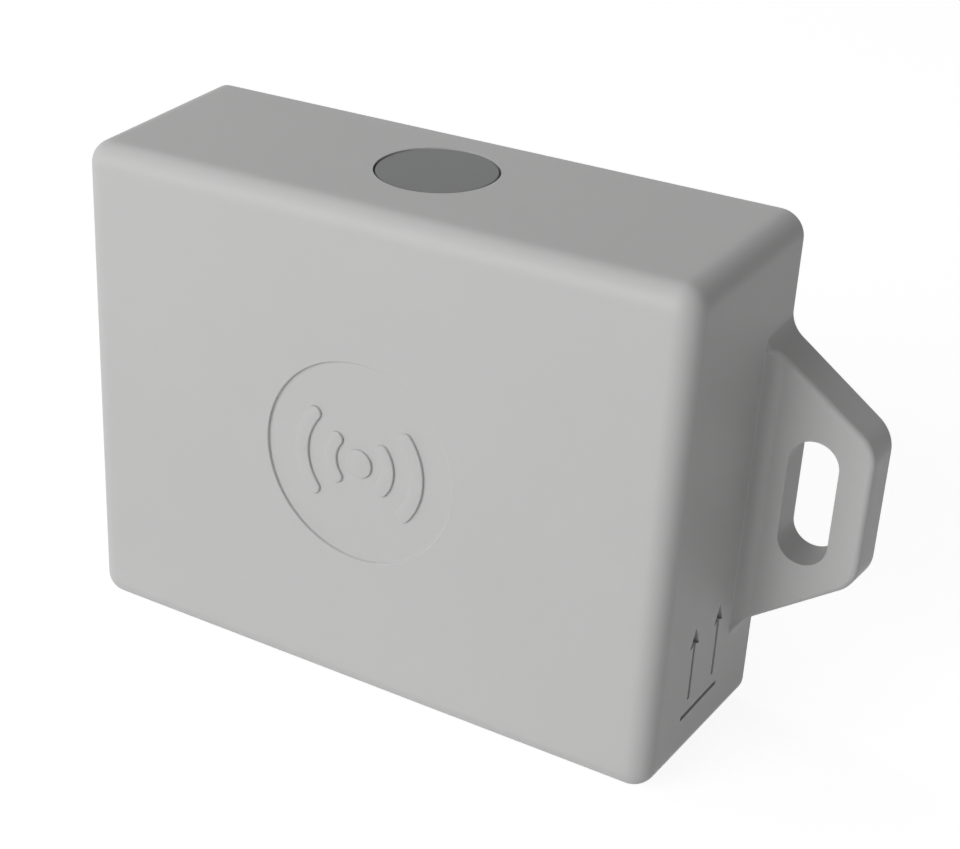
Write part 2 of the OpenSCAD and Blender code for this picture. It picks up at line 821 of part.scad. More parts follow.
module temperature_sensor() {
  color([0.8, 0.8, 0.76]) on_front(warmth_at, warmth_size);
}

module magnet_sensor() {
  color([0.1, 0.1, 0.11]) on_front(magnet_at, magnet_size);
}

module clock_crystal() {
  color([0.8, 0.78, 0.7]) on_front(crystal_at, crystal_size);
}

// Round can on a square foot, behind the board's upper left corner
module bulk_capacitor() {
  at = [bulk_x, holder_z + holder_h / 2 + bulk_d / 2 + bulk_up];
  color([0.7, 0.71, 0.73]) {
    on_back(at, [bulk_d, bulk_d, bulk_foot_t]);
    rod(at[0], at[1], bulk_d / 2, board_back_y + bulk_foot_t, board_back_y + bulk_l);
  }
}

module small_capacitors() {
  color([0.72, 0.6, 0.45]) for (row = CHIP_ROWS, i = [0:row[2] - 1]) {
    on_front([row[0] + chip_pitch * i, row[1]], chip_size);
  }
}

// Two rows of sockets for the programming cable
module debug_header() {
  header_z = holder_z + holder_h / 2 + header_up;
  color([0.1, 0.1, 0.11]) difference() {
    on_back([header_x, header_z], [5 * pin_pitch + header_end, 2 * pin_pitch + header_end, header_t]);
    for (i = [-2:2], k = [-1, 1]) {
      rod(
        header_x + i * pin_pitch, header_z + k * pin_pitch / 2, socket_r,
        board_back_y + socket_end, board_back_y + header_t + OVER
      );
    }
  }
}

case();
back_cover();
cover_gasket();
cover_screws();
thread_inserts();
button_cap();
button_boot();
boot_clamp();
side_switch();
switch_stem();
circuit_board();
board_screws();
battery_holder();
battery_upper();
battery_lower();
battery_springs();
battery_contacts();
battery_pad();
radio_module();
shield_can();
chip_antenna();
motion_sensor();
temperature_sensor();
magnet_sensor();
clock_crystal();
bulk_capacitor();
small_capacitors();
debug_header();
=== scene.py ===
# %% [markdown]
# A wireless sensor tag: a light grey moulded box, a darker round button in its top wall and a
# slotted fixing ear on each side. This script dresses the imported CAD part. The part gives every
# place and size, and the surfaces below give it true round edges, engraved and raised detail and
# finishes. The script's own unit is the millimetre, because that is how a moulder thinks. The
# points become metres in one place, where a piece is made.

import json
import math

import bmesh
import bpy
import numpy as np
from mathutils import Matrix, Vector
from mathutils.geometry import delaunay_2d_cdt


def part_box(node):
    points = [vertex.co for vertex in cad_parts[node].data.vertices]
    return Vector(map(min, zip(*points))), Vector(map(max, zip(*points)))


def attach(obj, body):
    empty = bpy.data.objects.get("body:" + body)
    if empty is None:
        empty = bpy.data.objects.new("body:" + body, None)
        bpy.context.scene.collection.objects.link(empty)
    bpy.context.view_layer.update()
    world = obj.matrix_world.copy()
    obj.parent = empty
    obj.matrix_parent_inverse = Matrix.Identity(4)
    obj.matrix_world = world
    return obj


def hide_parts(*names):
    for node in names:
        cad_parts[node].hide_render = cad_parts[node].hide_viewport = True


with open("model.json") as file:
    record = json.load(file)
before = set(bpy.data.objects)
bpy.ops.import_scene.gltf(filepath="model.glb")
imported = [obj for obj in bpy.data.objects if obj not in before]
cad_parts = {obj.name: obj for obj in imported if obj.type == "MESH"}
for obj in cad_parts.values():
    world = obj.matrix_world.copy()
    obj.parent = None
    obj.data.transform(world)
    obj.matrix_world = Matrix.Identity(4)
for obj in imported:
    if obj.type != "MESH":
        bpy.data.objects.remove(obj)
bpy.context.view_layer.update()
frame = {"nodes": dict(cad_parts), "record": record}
MM = 0.001


def box_mm(node):
    """Lowest and highest corner of a CAD node, in millimetres."""
    low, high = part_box(node)
    return np.array(low) / MM, np.array(high) / MM


case_lo, case_hi = box_mm("case")
cover_lo, cover_hi = box_mm("back_cover")
print("case from", case_lo.round(2), "to", case_hi.round(2))

# %% [markdown]
# The moulded case is nearly all that one sees of the tag: a box with draft on its four sides, open
# at the back. All its sizes could be written here, but then script and part could drift apart. So
# outer sizes and places are read from the part's boxes, and only what a box doesn't tell, such as
# a wall or a radius, is named here with the part's own value.

# %% Sizes of the case
RIM = 0.9
COVER_GAP = 0.1
WALL = 2.2
DRAFT = math.radians(2.2)
CORNER_R = 2.45
CAVITY_R = 1.0
front_y, back_y = case_lo[1], case_hi[1]
body_w = cover_hi[0] - cover_lo[0] + 2 * (COVER_GAP + RIM)
body_h = case_hi[2]
mid_z = body_h / 2
slant = math.tan(DRAFT)
inner_y = front_y + WALL
cover_in_y = cover_lo[1]
draft_in = (back_y - front_y) * slant
cavity_w = body_w - 2 * WALL - 2 * draft_in
cavity_h = body_h - 2 * WALL - 2 * draft_in
pocket_w, pocket_h = body_w - 2 * RIM, body_h - 2 * RIM
seat_z = mid_z + cavity_h / 2
print("body %.1f x %.1f x %.1f" % (body_w, body_h, back_y - front_y))


def side_x(y):
    """Half width of the drafted box at a depth: it narrows evenly from back to front."""
    return body_w / 2 - slant * (back_y - y)


def top_z(y):
    """Height of the drafted top wall at a depth."""
    return body_h - slant * (back_y - y)


# %% [markdown]
# A moulding is one closed skin. It could be cut together from solids with Boolean modifiers, but
# such edges come out rough and are hard to round. So every piece is a set of patches that meet edge
# to edge. A patch is a grid of points, worked out by numpy in one go, or a flat face with holes.

# %% A grid of points as a patch


def grid(points, keep=None):
    """A patch from an (n, m, 3) grid: one quad for each cell, or for each cell that keep marks."""
    n, m = points.shape[:2]
    index = np.arange(n * m).reshape(n, m)
    quads = np.stack([index[:-1, :-1], index[1:, :-1], index[1:, 1:], index[:-1, 1:]], axis=-1)
    if keep is not None:
        quads = quads[keep]
    return points.reshape(-1, 3), quads.reshape(-1, 4)


def steps(first, last, cells):
    """Rows spaced evenly from the first to the last, both included."""
    f = np.linspace(0, 1, cells + 1)[:, None]
    return np.array(first) * (1 - f) + np.array(last) * f


print("3 x 4 points make", len(grid(np.zeros((3, 4, 3)))[1]), "quads")

# %% [markdown]
# Patches meet in equal points. They could be joined by hand-kept lists of point numbers, but
# welding by position is simpler and closes the skin wherever two patches agree. A quad that has run
# together into a triangle, as at a pole, is kept as one, and a quad without area is dropped.

# %% Welding patches into one skin
WELD = 1e-4
OFF_EDGE = 0.2137


def weld(patches):
    """Points in one cell of a fine lattice become one, and faces lose the corners that fell
    together. The shift keeps round lengths, which are the common ones, off the cells' edges."""
    start = np.cumsum([0] + [len(p) for p, _ in patches])[:-1]
    points = np.concatenate([p for p, _ in patches])
    faces = np.concatenate([f + s for (_, f), s in zip(patches, start)])
    keys = np.floor(points / WELD + OFF_EDGE).astype(np.int64)
    _, first, inverse = np.unique(keys, axis=0, return_index=True, return_inverse=True)
    faces = inverse.reshape(-1)[faces]
    same = faces == np.roll(faces, -1, axis=1)
    lost = same.sum(axis=1)
    quads = faces[lost == 0]
    triangles = faces[lost == 1][~same[lost == 1]].reshape(-1, 3)
    return points[first], quads.tolist() + triangles.tolist()


# %% A flat face with holes


def twice_area(loop):
    """Twice a 2D loop's area, and less than zero where it runs clockwise."""
    after = np.roll(loop, -1, axis=0)
    return np.sum(loop[:, 0] * after[:, 1] - loop[:, 1] * after[:, 0])


def flat_face(loops, place, holes=True):
    """A flat face: the first loop is its edge and the others are holes in it, all in 2D.
    The area between them is cut into triangles, and place gives the 2D points their height.
    Without holes, the areas inside the other loops are kept instead."""
    loops = [loop[:: int(np.sign(twice_area(loop)))] for loop in loops]
    flat = np.concatenate(loops)
    ends = np.cumsum([len(loop) for loop in loops])
    rings = [list(range(end - len(loop), end)) for loop, end in zip(loops, ends)]
    _, _, faces, sources, _, owners = delaunay_2d_cdt(flat.tolist(), [], rings, 1, WELD / 10)
    chosen = [f for f, own in zip(faces, owners) if (own == [0]) == holes]
    corners = np.array(chosen).reshape(-1, 3)
    tris = np.array([own[0] for own in sources])[corners]
    return place(flat), tris[:, [0, 1, 2, 2]]


def at_depth(y, lift=0.0):
    """Lays 2D points (x, z) at one depth, and higher by the lift."""
    return lambda flat: np.column_stack([flat[:, 0], np.full(len(flat), y), flat[:, 1] + lift])


unit_square = np.array([(0.0, 0.0), (1.0, 0.0), (1.0, 1.0), (0.0, 1.0)])
print("a square is", len(flat_face([unit_square], at_depth(0))[1]), "triangles")

# %% [markdown]
# A piece is welded, turned outwards and shaded smooth, with hard edges where two faces meet at more
# than an angle. Flat walls next to small round edges would pick up a pillowy shading. More rows
# would help, but weighting the normals by face area costs nothing, and the walls stay flat.

# %% From patches to a piece
HARD_EDGE = math.radians(32)
finishes = {}


def new_object(name, points, faces):
    """An object at the origin from points in metres and faces, linked into the scene."""
    mesh = bpy.data.meshes.new(name)
    mesh.from_pydata(points.tolist(), [], faces)
    obj = bpy.data.objects.new(name, mesh)
    bpy.context.scene.collection.objects.link(obj)
    return obj


def piece(name, patches, body, slot, nodes=()):
    """Makes one object of the part and says what it rides on, wears and stands for."""
    points, faces = weld(patches)
    obj = new_object(name, points * MM, faces)
    bm = bmesh.new()
    bm.from_mesh(obj.data)
    bmesh.ops.recalc_face_normals(bm, faces=bm.faces)
    open_edges = sum(not e.is_manifold for e in bm.edges)
    bm.to_mesh(obj.data)
    bm.free()
    obj.data.shade_smooth()
    obj.data.set_sharp_from_angle(angle=HARD_EDGE)
    obj.data.materials.append(finishes[slot])
    obj.modifiers.new("Flat walls", "WEIGHTED_NORMAL").keep_sharp = True
    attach(obj, body)
    if nodes:
        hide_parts(*nodes)
    print(name, len(points), "points,", len(faces), "faces,", open_edges, "open edges")


# %% [markdown]
# Materials come next, because a piece takes its finish when it is made. They could be wired node by
# node, but a number in a shader is easier to read as a sum. The small class below wraps a socket,
# so that a plain expression adds the Math nodes that it needs. One method adds any other node.

# %% A socket that can be added and multiplied


class Value:
    """A number or colour that varies over the surface: the output socket of a node."""

    def __init__(self, nodes, socket):
        self.nodes, self.socket = nodes, socket

    def math(self, operation, first, second):
        values = {0: first, 1: second}
        return self.nodes.read(0, "ShaderNodeMath", {"operation": operation}, values)

    def __add__(self, other):
        return self.math("ADD", self, other)

    def __sub__(self, other):
        return self.math("SUBTRACT", self, other)

    def __rsub__(self, other):
        return self.math("SUBTRACT", other, self)

    def __mul__(self, other):
        return self.math("MULTIPLY", self, other)

    __radd__ = __add__
    __rmul__ = __mul__


# %% A node tree that one method fills


class Tree:
    """A tree of nodes in the making, for a material or for the world."""

    def __init__(self, tree):
        self.tree = tree

    def node(self, kind, settings=(), values=()):
        """Adds a node: its settings first, then the values or links of its sockets."""
        node = self.tree.nodes.new(kind)
        for key, value in dict(settings).items():
            setattr(node, key, value)
        for key, value in dict(values).items():
            self.give(node.inputs[key], value)
        return node

    def read(self, output, kind, settings=(), values=()):
        """Adds a node and gives one of its outputs as a value."""
        return Value(self, self.node(kind, settings, values).outputs[output])

    def give(self, socket, value):
        """Links a value to a socket, or sets the socket where the value is a plain one."""
        value = value.socket if isinstance(value, Value) else value
        if isinstance(value, bpy.types.NodeSocket):
            self.tree.links.new(value, socket)
        else:
            socket.default_value = value

    def spread(self, value, low, high, first=0.0, last=1.0):
        """The value's range from low to high, drawn out to the range from first to last."""
        sizes = {"Value": value, "From Min": low, "From Max": high, "To Min": first, "To Max": last}
        return self.read("Result", "ShaderNodeMapRange", {}, sizes)

    def looked_at(self):
        """1 for a ray that looks at things, straight, off gloss or through glass, and 0 for one
        that only carries light."""
        rays = self.node("ShaderNodeLightPath").outputs
        camera, glossy, clear = [
            Value(self, rays["Is %s Ray" % way]) for way in ("Camera", "Glossy", "Transmission")
        ]
        return camera + glossy + clear


# %% A material and its shader


def tone(color, factor):
    """A colour made lighter or darker."""
    return (*[min(c * factor, 1.0) for c in color[:3]], 1.0)


class Finish(Tree):
    """A material in the making: its Principled shader, and helpers for what varies."""

    def __init__(self, name, **constants):
        self.material = bpy.data.materials.new(name)
        self.material.use_nodes = True
        super().__init__(self.material.node_tree)
        self.shader = self.tree.nodes["Principled BSDF"]
        self.wear(**constants)
        self.place = self.node("ShaderNodeTexCoord").outputs["Object"]
        finishes[name] = self.material

    def noise(self, grain_mm, detail=2.0, rough=0.5):
        """Soft noise whose bumps are about grain_mm across, from 0 to 1 round 0.5."""
        scale = 1 / (grain_mm * MM)
        sizes = {"Vector": self.place, "Scale": scale, "Detail": detail, "Roughness": rough}
        return self.read("Fac", "ShaderNodeTexNoise", {}, sizes)

    def mix(self, factor, first, second):
        """A colour between two, by a factor from 0 to 1. Sockets 6 and 7 are its two colours."""
        values = {"Factor": factor, 6: first, 7: second}
        return self.read(2, "ShaderNodeMix", {"data_type": "RGBA"}, values)

    def shades(self, color, dark, light, value):
        """The colour times dark where the value is 0, and times light where it is 1."""
        return self.mix(value, tone(color, dark), tone(color, light))

    def bump(self, height, depth_mm, strength=1.0):
        """Turns a height from 0 to 1 into small slopes, depth_mm deep."""
        sizes = {"Height": height, "Distance": depth_mm * MM, "Strength": strength}
        self.wear(Normal=self.read("Normal", "ShaderNodeBump", {}, sizes))

    def wear(self, **inputs):
        """Gives the shader's own sockets their values or links."""
        for socket, value in inputs.items():
            self.give(self.shader.inputs[socket.replace("_", " ")], value)


# %% [markdown]
# Nearly everything here is one of four finishes: moulded plastic with a fine spark-eroded grain,
# plated or turned metal, soft rubber, and the lacquered board. Image textures could show each of
# them, but noise has no seams and keeps its scale in millimetres on any piece. Each finish is one
# function of its colour and grain, so that pieces differ as real ones do from one recipe.

# %% Moulded plastic


def around(middle, swing, value):
    """The middle less the swing where the value is 0, and plus the swing where it is 1."""
    return middle - swing + value * (2 * swing)


def moulded(slot, color, rough=0.6, grain_mm=0.22, depth_mm=0.004, cloud=0.03, shade=None):
    """Moulded plastic: even colour with faint flow clouds, and a fine matt grain. Where a shade
    factor is given, the colour is darkened by it: painted shade.
    """
    f = Finish(slot, IOR=1.46, Specular_IOR_Level=0.3)
    clouds = f.spread(f.noise(14.0, detail=3.0), 0.3, 0.7)
    grain = f.noise(grain_mm, rough=0.6)
    f.bump(grain, depth_mm, strength=0.6)
    pigment = f.shades(color, 1 - cloud, 1 + cloud, clouds)
    # Painted shade: the colour times the shade factor, darker where shade falls
    if shade:
        pigment = f.mix(shade(f), (0, 0, 0, 1), pigment)
    f.wear(Base_Color=pigment, Roughness=around(rough, 0.03, grain))


# Painted shade in the hollow at each ear's root: how far it reaches from the wall, and the least
# factor on the colour
CORNER_REACH, CORNER_LEAST = 1.3, 0.82
ON_WALL, OFF_WALL = 0.02, 0.06


def painted_corner_shade(f):
    """Painted shade: the colour is darkened in the hollow between an ear and the wall, where shade
    falls. The factor is least close to the drafted wall and grows evenly to 1 at the reach. On the
    wall itself it is 1."""
    at = f.node("ShaderNodeSeparateXYZ", {}, {0: f.place}).outputs
    x, y = Value(f, at["X"]), Value(f, at["Y"])
    wall_x = body_w / 2 * MM - (back_y * MM - y) * slant
    away = x.math("ABSOLUTE", x, 0.0) - wall_x
    near = f.spread(away, CORNER_REACH * MM, 0.0) * f.spread(away, ON_WALL * MM, OFF_WALL * MM)
    return 1 - near * (1 - CORNER_LEAST)


# %% Rubber, metal and board


def rubber(slot, color, rough=0.75):
    """Silicone or foam: dull, slightly mottled, with a soft skin."""
    f = Finish(slot, IOR=1.41, Specular_IOR_Level=0.3)
    mottle = f.spread(f.noise(0.8, detail=4.0), 0.35, 0.65)
    f.bump(f.noise(0.3, detail=3.0), depth_mm=0.006)
    color = f.shades(color, 0.9, 1.1, mottle)
    f.wear(Base_Color=color, Roughness=around(rough, 0.05, mottle))


def plated(slot, color, rough=0.3, grain_mm=0.5):
    """Turned or plated metal: faint stains in the colour and a grain that breaks the shine."""
    f = Finish(slot, Metallic=1.0)
    stain = f.spread(f.noise(3.0, detail=4.0), 0.3, 0.75)
    scratch = f.noise(grain_mm, detail=4.0, rough=0.7)
    f.bump(scratch, depth_mm=0.002, strength=0.5)
    color = f.shades(color, 0.86, 1.03, stain)
    f.wear(Base_Color=color, Roughness=around(rough, 0.06, scratch))


def lacquered(slot, color, rough=0.4):
    """Circuit board: glass weave showing faintly through a glossy coloured lacquer."""
    f = Finish(slot, Coat_Weight=0.4, Coat_Roughness=0.15)
    weave = f.noise(0.55, detail=1.0)
    f.bump(weave, depth_mm=0.01, strength=0.4)
    color = f.shades(color, 0.85, 1.15, f.spread(weave, 0.35, 0.65))
    f.wear(Base_Color=color, Roughness=around(rough, 0.05, weave))


# %% The finishes of this tag
SHELL = (0.56, 0.56, 0.557)
# The shell's colour carries painted shade in the hollows where the ears meet the wall
moulded("shell_plastic", SHELL, rough=0.5, cloud=0.006, shade=painted_corner_shade)
moulded("cover_plastic", tone(SHELL, 0.985), rough=0.5, cloud=0.006)
moulded("button_plastic", (0.2, 0.202, 0.205), rough=0.5, cloud=0.015)
moulded("clamp_plastic", (0.3, 0.31, 0.33))
moulded("switch_plastic", (0.03, 0.03, 0.033), rough=0.45)
moulded("stem_plastic", (0.75, 0.75, 0.7), rough=0.35)
moulded("holder_plastic", (0.04, 0.04, 0.043), rough=0.55)
moulded("chip_plastic", (0.02, 0.02, 0.022), rough=0.4)
moulded("sensor_plastic", (0.65, 0.65, 0.6), rough=0.45)
moulded("cell_jacket", (0.08, 0.17, 0.3), rough=0.3, depth_mm=0.002)
moulded("antenna_ceramic", (0.75, 0.72, 0.6), rough=0.4)
moulded("capacitor_ceramic", (0.5, 0.36, 0.2), rough=0.45)
rubber("gasket_rubber", (0.02, 0.02, 0.022))
rubber("boot_rubber", (0.04, 0.04, 0.043))
rubber("pad_foam", (0.06, 0.06, 0.065), rough=0.9)
plated("screw_steel", (0.58, 0.58, 0.59))
plated("insert_brass", (0.78, 0.57, 0.25))
plated("contact_metal", (0.7, 0.69, 0.66))
plated("can_metal", (0.72, 0.72, 0.7), rough=0.35, grain_mm=1.2)
plated("capacitor_aluminium", (0.75, 0.76, 0.78), rough=0.35)
lacquered("board_laminate", (0.02, 0.13, 0.055))
lacquered("module_laminate", (0.015, 0.06, 0.13))
print(len(finishes), "finishes")

# %% [markdown]
# The box is a rounded rectangle that changes as it runs back: a ball-shaped front edge, four walls
# with draft, the rim at the back, and then forwards again along the cavity. A bevelled cube could
# stand for it, but it has no draft and no cavity. So it is one profile carried round one outline,
# which is stored as two things for each point: which way the wall faces there, and how far along
# the straight sides the point lies.

# %% The outline that the box, pocket and cover share
CELLS_X, CELLS_Z, CELLS_ARC = 44, 36, 9


def outline():
    """Goes round once, from the lower end of the right side: right, top, left, bottom. Spot is the
    place between the corners' centres, from -1 to 1 each way, and face is the wall's direction."""
    spots, faces = [], []
    for turn, cells in enumerate([CELLS_Z, CELLS_X, CELLS_Z, CELLS_X]):
        a = math.pi / 2 * turn
        way = np.array([[math.cos(a), math.sin(a)], [-math.sin(a), math.cos(a)]])
        along = np.linspace(-1, 1, cells + 1)[:-1]
        spots.append(np.stack([np.ones(cells), along], axis=1) @ way)
        faces.append(np.tile(way[0], (cells, 1)))
        arc = a + np.linspace(0, math.pi / 2, CELLS_ARC + 1)[:-1]
        spots.append(np.tile([1, 1] @ way, (CELLS_ARC, 1)))
        faces.append(np.stack([np.cos(arc), np.sin(arc)], axis=1))
    spot, face = np.concatenate(spots), np.concatenate(faces)
    return np.append(spot, spot[:1], axis=0), np.append(face, face[:1], axis=0)


SPOT, FACE = outline()


def loft(stations):
    """Carries the outline through stations of (half width, half height, corner radius, depth).
    A point is its spot times what the half sizes have over the radius, plus the radius its way."""
    hx, hz, r, y = np.array(stations, float).T
    x = SPOT[:, :1] * (hx - r) + FACE[:, :1] * r
    z = SPOT[:, 1:] * (hz - r) + FACE[:, 1:] * r
    return np.stack([x, np.broadcast_to(y, x.shape), z + mid_z], axis=-1)


print("the outline has", len(SPOT) - 1, "points")

# %% [markdown]
# Now the case's skin. Its front edge is a quarter round that stops short of a right angle by the
# draft, where it runs into the wall without a kink. A Bevel modifier would miss that, because it
# rounds between the faces that it finds. Rows follow each other closely from front to back, so that
# a few cells can be left out where the button's hole and the engraved mark go.

# %% Outer skin, rim and cavity
ROWS = 24
FILLET_STEPS = 12
ball_y = front_y + CORNER_R
to_wall = CORNER_R / math.cos(DRAFT)
ball_x = side_x(ball_y) - to_wall
ball_z = top_z(ball_y) - to_wall - mid_z
turn = np.linspace(0, math.pi / 2 - DRAFT, FILLET_STEPS + 1)
bulge = CORNER_R * np.sin(turn)
ball_row = [ball_x + bulge, ball_z + bulge, bulge, ball_y - CORNER_R * np.cos(turn)]
round_edge = np.stack(ball_row, axis=1)
back_edge = [body_w / 2, body_h / 2, CORNER_R, back_y]
outer = loft(np.concatenate([round_edge[:-1], steps(round_edge[-1], back_edge, ROWS)]))
pocket = [pocket_w / 2, pocket_h / 2, CORNER_R - RIM]
cavity = [cavity_w / 2, cavity_h / 2, CAVITY_R]
back_rim = loft([back_edge, pocket + [back_y], pocket + [cover_in_y], cavity + [cover_in_y]])
inner = loft(steps(cavity + [cover_in_y], cavity + [inner_y], ROWS))
inner_front = loft([cavity + [inner_y], [0, 0, 0, inner_y]])
print("outer skin of %d x %d points" % outer.shape[:2])

# %% [markdown]
# A hole or a mark needs a place in the skin. A Boolean cuts it anywhere, but it also cuts every
# face that it meets. A grid can leave out a window of whole cells instead, and the window's edge is
# a loop of known points from which a flat face with holes can start.

# %% Windows in a skin


def nearest(values, wanted):
    """Index of the value that lies nearest to the wanted one."""
    return int(np.abs(np.asarray(values) - wanted).argmin())


def window(points, i_range, low_y, high_y):
    """Leaves out the cells of a skin inside an outline range and a depth range. Gives the marks of
    the cells that stay, and the window's edge."""
    i0, i1 = i_range
    ja, jb = sorted([nearest(points[i0, :, 1], low_y), nearest(points[i0, :, 1], high_y)])
    keep = np.ones((points.shape[0] - 1, points.shape[1] - 1), bool)
    keep[i0:i1, ja:jb] = False
    there = [points[i0:i1, ja], points[i1, ja:jb]]
    back = [points[i0 + 1 : i1 + 1, jb][::-1], points[i0, ja + 1 : jb + 1][::-1]]
    return keep, np.concatenate(there + back)


# %% [markdown]
# The button sits in a round hole in the top wall. The grid could be bent round the hole, but that
# would spoil the rounded edge next to it. So there is a window in the outer skin and one in the
# cavity's roof, a flat face with a round hole closes each of them, and a short tube joins the two
# holes. The outer one lies on the drafted roof, so its height follows from its depth.

# %% The button's hole in the top wall
BUTTON_GAP = 0.2
HOLE_REACH = 8.2
CIRCLE_CELLS = 128
cap_lo, cap_hi = box_mm("button_cap")
button_y = (cap_lo[1] + cap_hi[1]) / 2
button_r = (cap_hi[0] - cap_lo[0]) / 2
bore_r = button_r + BUTTON_GAP
circle = np.linspace(0, 2 * math.pi, CIRCLE_CELLS + 1)


def ring(r, center=(0.0, 0.0)):
    """Points on a circle, the first repeated at the end: centre plus r times cosine and sine."""
    return np.stack([center[0] + r * np.cos(circle), center[1] + r * np.sin(circle)], axis=1)


def on_top(flat):
    """Lays 2D points (x, y) on the drafted top wall."""
    return np.column_stack([flat, top_z(flat[:, 1])])


def on_seat(flat):
    """Lays 2D points (x, y) on the cavity's flat roof."""
    return np.column_stack([flat, np.full(len(flat), seat_z)])


TOP = CELLS_Z + CELLS_ARC
top_spots = SPOT[TOP : TOP + CELLS_X, 0]
top_cells = [TOP + nearest(top_spots, s * HOLE_REACH / ball_x) for s in (1, -1)]
keep_top, top_edge = window(outer, top_cells, button_y - HOLE_REACH, button_y + HOLE_REACH)
keep_roof, roof_edge = window(inner, top_cells, button_y - HOLE_REACH, button_y + HOLE_REACH)
hole = ring(bore_r, (0, button_y))
hole_patches = [
    flat_face([top_edge[:, :2], hole[:-1]], on_top),
    flat_face([roof_edge[:, :2], hole[:-1]], on_seat),
    grid(np.stack([on_top(hole), on_seat(hole)], axis=1)),
]
print("hole radius %.2f, wall there %.2f" % (bore_r, top_z(button_y) - seat_z))

# %% [markdown]
# The upright mark on the right side wall is two arrows over a bar, engraved 0.65 mm deep. A bump
# could fake it from the front, but at a slant a real cut shows its dark side walls. A window is
# used again: the outlines are holes in the flat wall, their areas are the cut's floor, and a narrow
# band joins the two.

# %% The engraved mark
MARK_Y, MARK_Z = -0.4, 6.2
BAR, LINE = 8.0, 0.5
ARROW, SHAFT, PITCH, LIFT = 8.2, 0.5, 5.3, 1.65
HEAD = (2.0, 2.2, 0.4)
CUT = 0.65
# How far the window reaches beside, under and over the mark
ROOM_Y, ROOM_UNDER, ROOM_OVER = 6.0, 2.5, 2.0


def rectangle(low, high):
    """The four corners of a rectangle, counter-clockwise."""
    return np.array([low, (high[0], low[1]), high, (low[0], high[1])])


def arrow(y):
    """An upward arrow with a swept back head, as its seven corners from the foot's left end."""
    width, length, barb = HEAD
    neck = ARROW - length + barb * (1 - SHAFT / width)
    right = [(SHAFT / 2, 0), (SHAFT / 2, neck), (width / 2, ARROW - length)]
    left = [(-u, v) for u, v in right[::-1]]
    return np.array([left[-1]] + right + [(0, ARROW)] + left[:-1]) + [y, MARK_Z + LIFT]


def on_side(depth):
    """Lays 2D points (y, z) on the right wall, or depth under it."""
    return lambda flat: np.column_stack([side_x(flat[:, 0]) - depth, flat])


def closed(loop):
    """The loop with its first point repeated at the end."""
    return np.append(loop, loop[:1], axis=0)


# %% The mark's place in the wall
side_spots = mid_z + SPOT[:CELLS_Z, 1] * (body_h / 2 - CORNER_R)
side_ends = MARK_Z - ROOM_UNDER, MARK_Z + LIFT + ARROW + ROOM_OVER
side_cells = [nearest(side_spots, end) for end in side_ends]
keep_side, side_edge = window(outer, side_cells, MARK_Y - ROOM_Y, MARK_Y + ROOM_Y)
marks = [
    rectangle((MARK_Y - BAR / 2, MARK_Z - LINE / 2), (MARK_Y + BAR / 2, MARK_Z + LINE / 2)),
    arrow(MARK_Y - PITCH / 2),
    arrow(MARK_Y + PITCH / 2),
]
loops = [side_edge[:, 1:]] + marks
mark_patches = [flat_face(loops, on_side(0)), flat_face(loops, on_side(CUT), holes=False)]
for mark in marks:
    band = [on_side(0)(closed(mark)), on_side(CUT)(closed(mark))]
    mark_patches.append(grid(np.stack(band, axis=1)))
print("the mark is", BAR, "wide and", LIFT + ARROW, "high")

# %% [markdown]
# Screws, bosses, cells and the recess on the front are all round. Blender could spin each of them
# from a curve, but two lines of numpy do the same for a whole grid, and the seam is closed when the
# patch is welded. Small edges are rounded by one recipe too.

# %% Profiles turned round an axis, and small round edges
DEEP, UPRIGHT, LEVEL = [0, 2, 1], [0, 1, 2], [2, 0, 1]
quarter = np.linspace(0, math.pi / 2, 5)


def spun(r, along, center, axis=DEEP, angles=circle):
    """Points round an axis: the radius times cosine and sine, and the way along the axis. The
    radius may also differ with the angle. Axis says which of the three is x, y and z."""
    wide = np.cos(angles)[:, None] * r
    high = np.sin(angles)[:, None] * r
    points = np.stack([wide, high, np.broadcast_to(along, wide.shape)], axis=-1)
    return points[..., axis] + np.array(center, float)


def turned(profile, center, axis=DEEP, angles=circle):
    """Turns a profile, rows of radius and way along the axis, round the axis through a point."""
    r, along = np.array(profile, float).T
    return spun(r, along, center, axis, angles)


def round_over(r, angles=quarter):
    """A quarter round from a face to a side: how far it is inside the side, r times one less the
    sine, and how far under the face, r times one less the cosine."""
    return r * (1 - np.sin(angles)), r * (1 - np.cos(angles))


# %% [markdown]
# In the middle of the front is a shallow round recess with a raised dot and arcs, the common sign
# for a wireless signal. Depth painted by a bump would vanish at the edges, where the light catches
# it, so it is modelled. The recess is a turned profile with a tiny round on its rim and foot.

# %% The recess in the front
BADGE_R = 10.6
BADGE_DEPTH = 0.35
SOFT = 0.12
floor_y = front_y + BADGE_DEPTH
inset, drop = round_over(SOFT)
lip = np.stack([BADGE_R + inset, front_y + drop], axis=1)
foot = np.stack([BADGE_R - drop, floor_y - inset], axis=1)
recess = np.concatenate([lip, foot, [(0, floor_y)]])
front_edge = outer[:-1, 0][:, [0, 2]]
_, first = np.unique(np.round(front_edge / WELD), axis=0, return_index=True)
front_edge = front_edge[np.sort(first)]
lip_circle = ring(BADGE_R + SOFT, (0, mid_z))[:-1]
badge_patches = [
    flat_face([front_edge, lip_circle], at_depth(front_y)),
    grid(turned(recess, (0, 0, mid_z))),
]
print("recess", 2 * BADGE_R, "wide and", BADGE_DEPTH, "deep")

# %% [markdown]
# Each ridge of the sign is a rounded top carried along an arc with round ends, and stands on the
# recess's floor. A curve with a bevel has no flat top and no neat ends, so the walk round the ridge
# is written out: each point has a place on the middle line and a way out from it.

# %% The signal ridges
RIDGE_H, RIDGE_W = 0.3, 1.5
RIDGE_STEP = 3.3
RIDGE_SPAN = math.radians(76)
DOT_R = 1.5
SINK = 0.2
ARC_POINTS, END_POINTS = 25, 13
ridge_top = floor_y - RIDGE_H


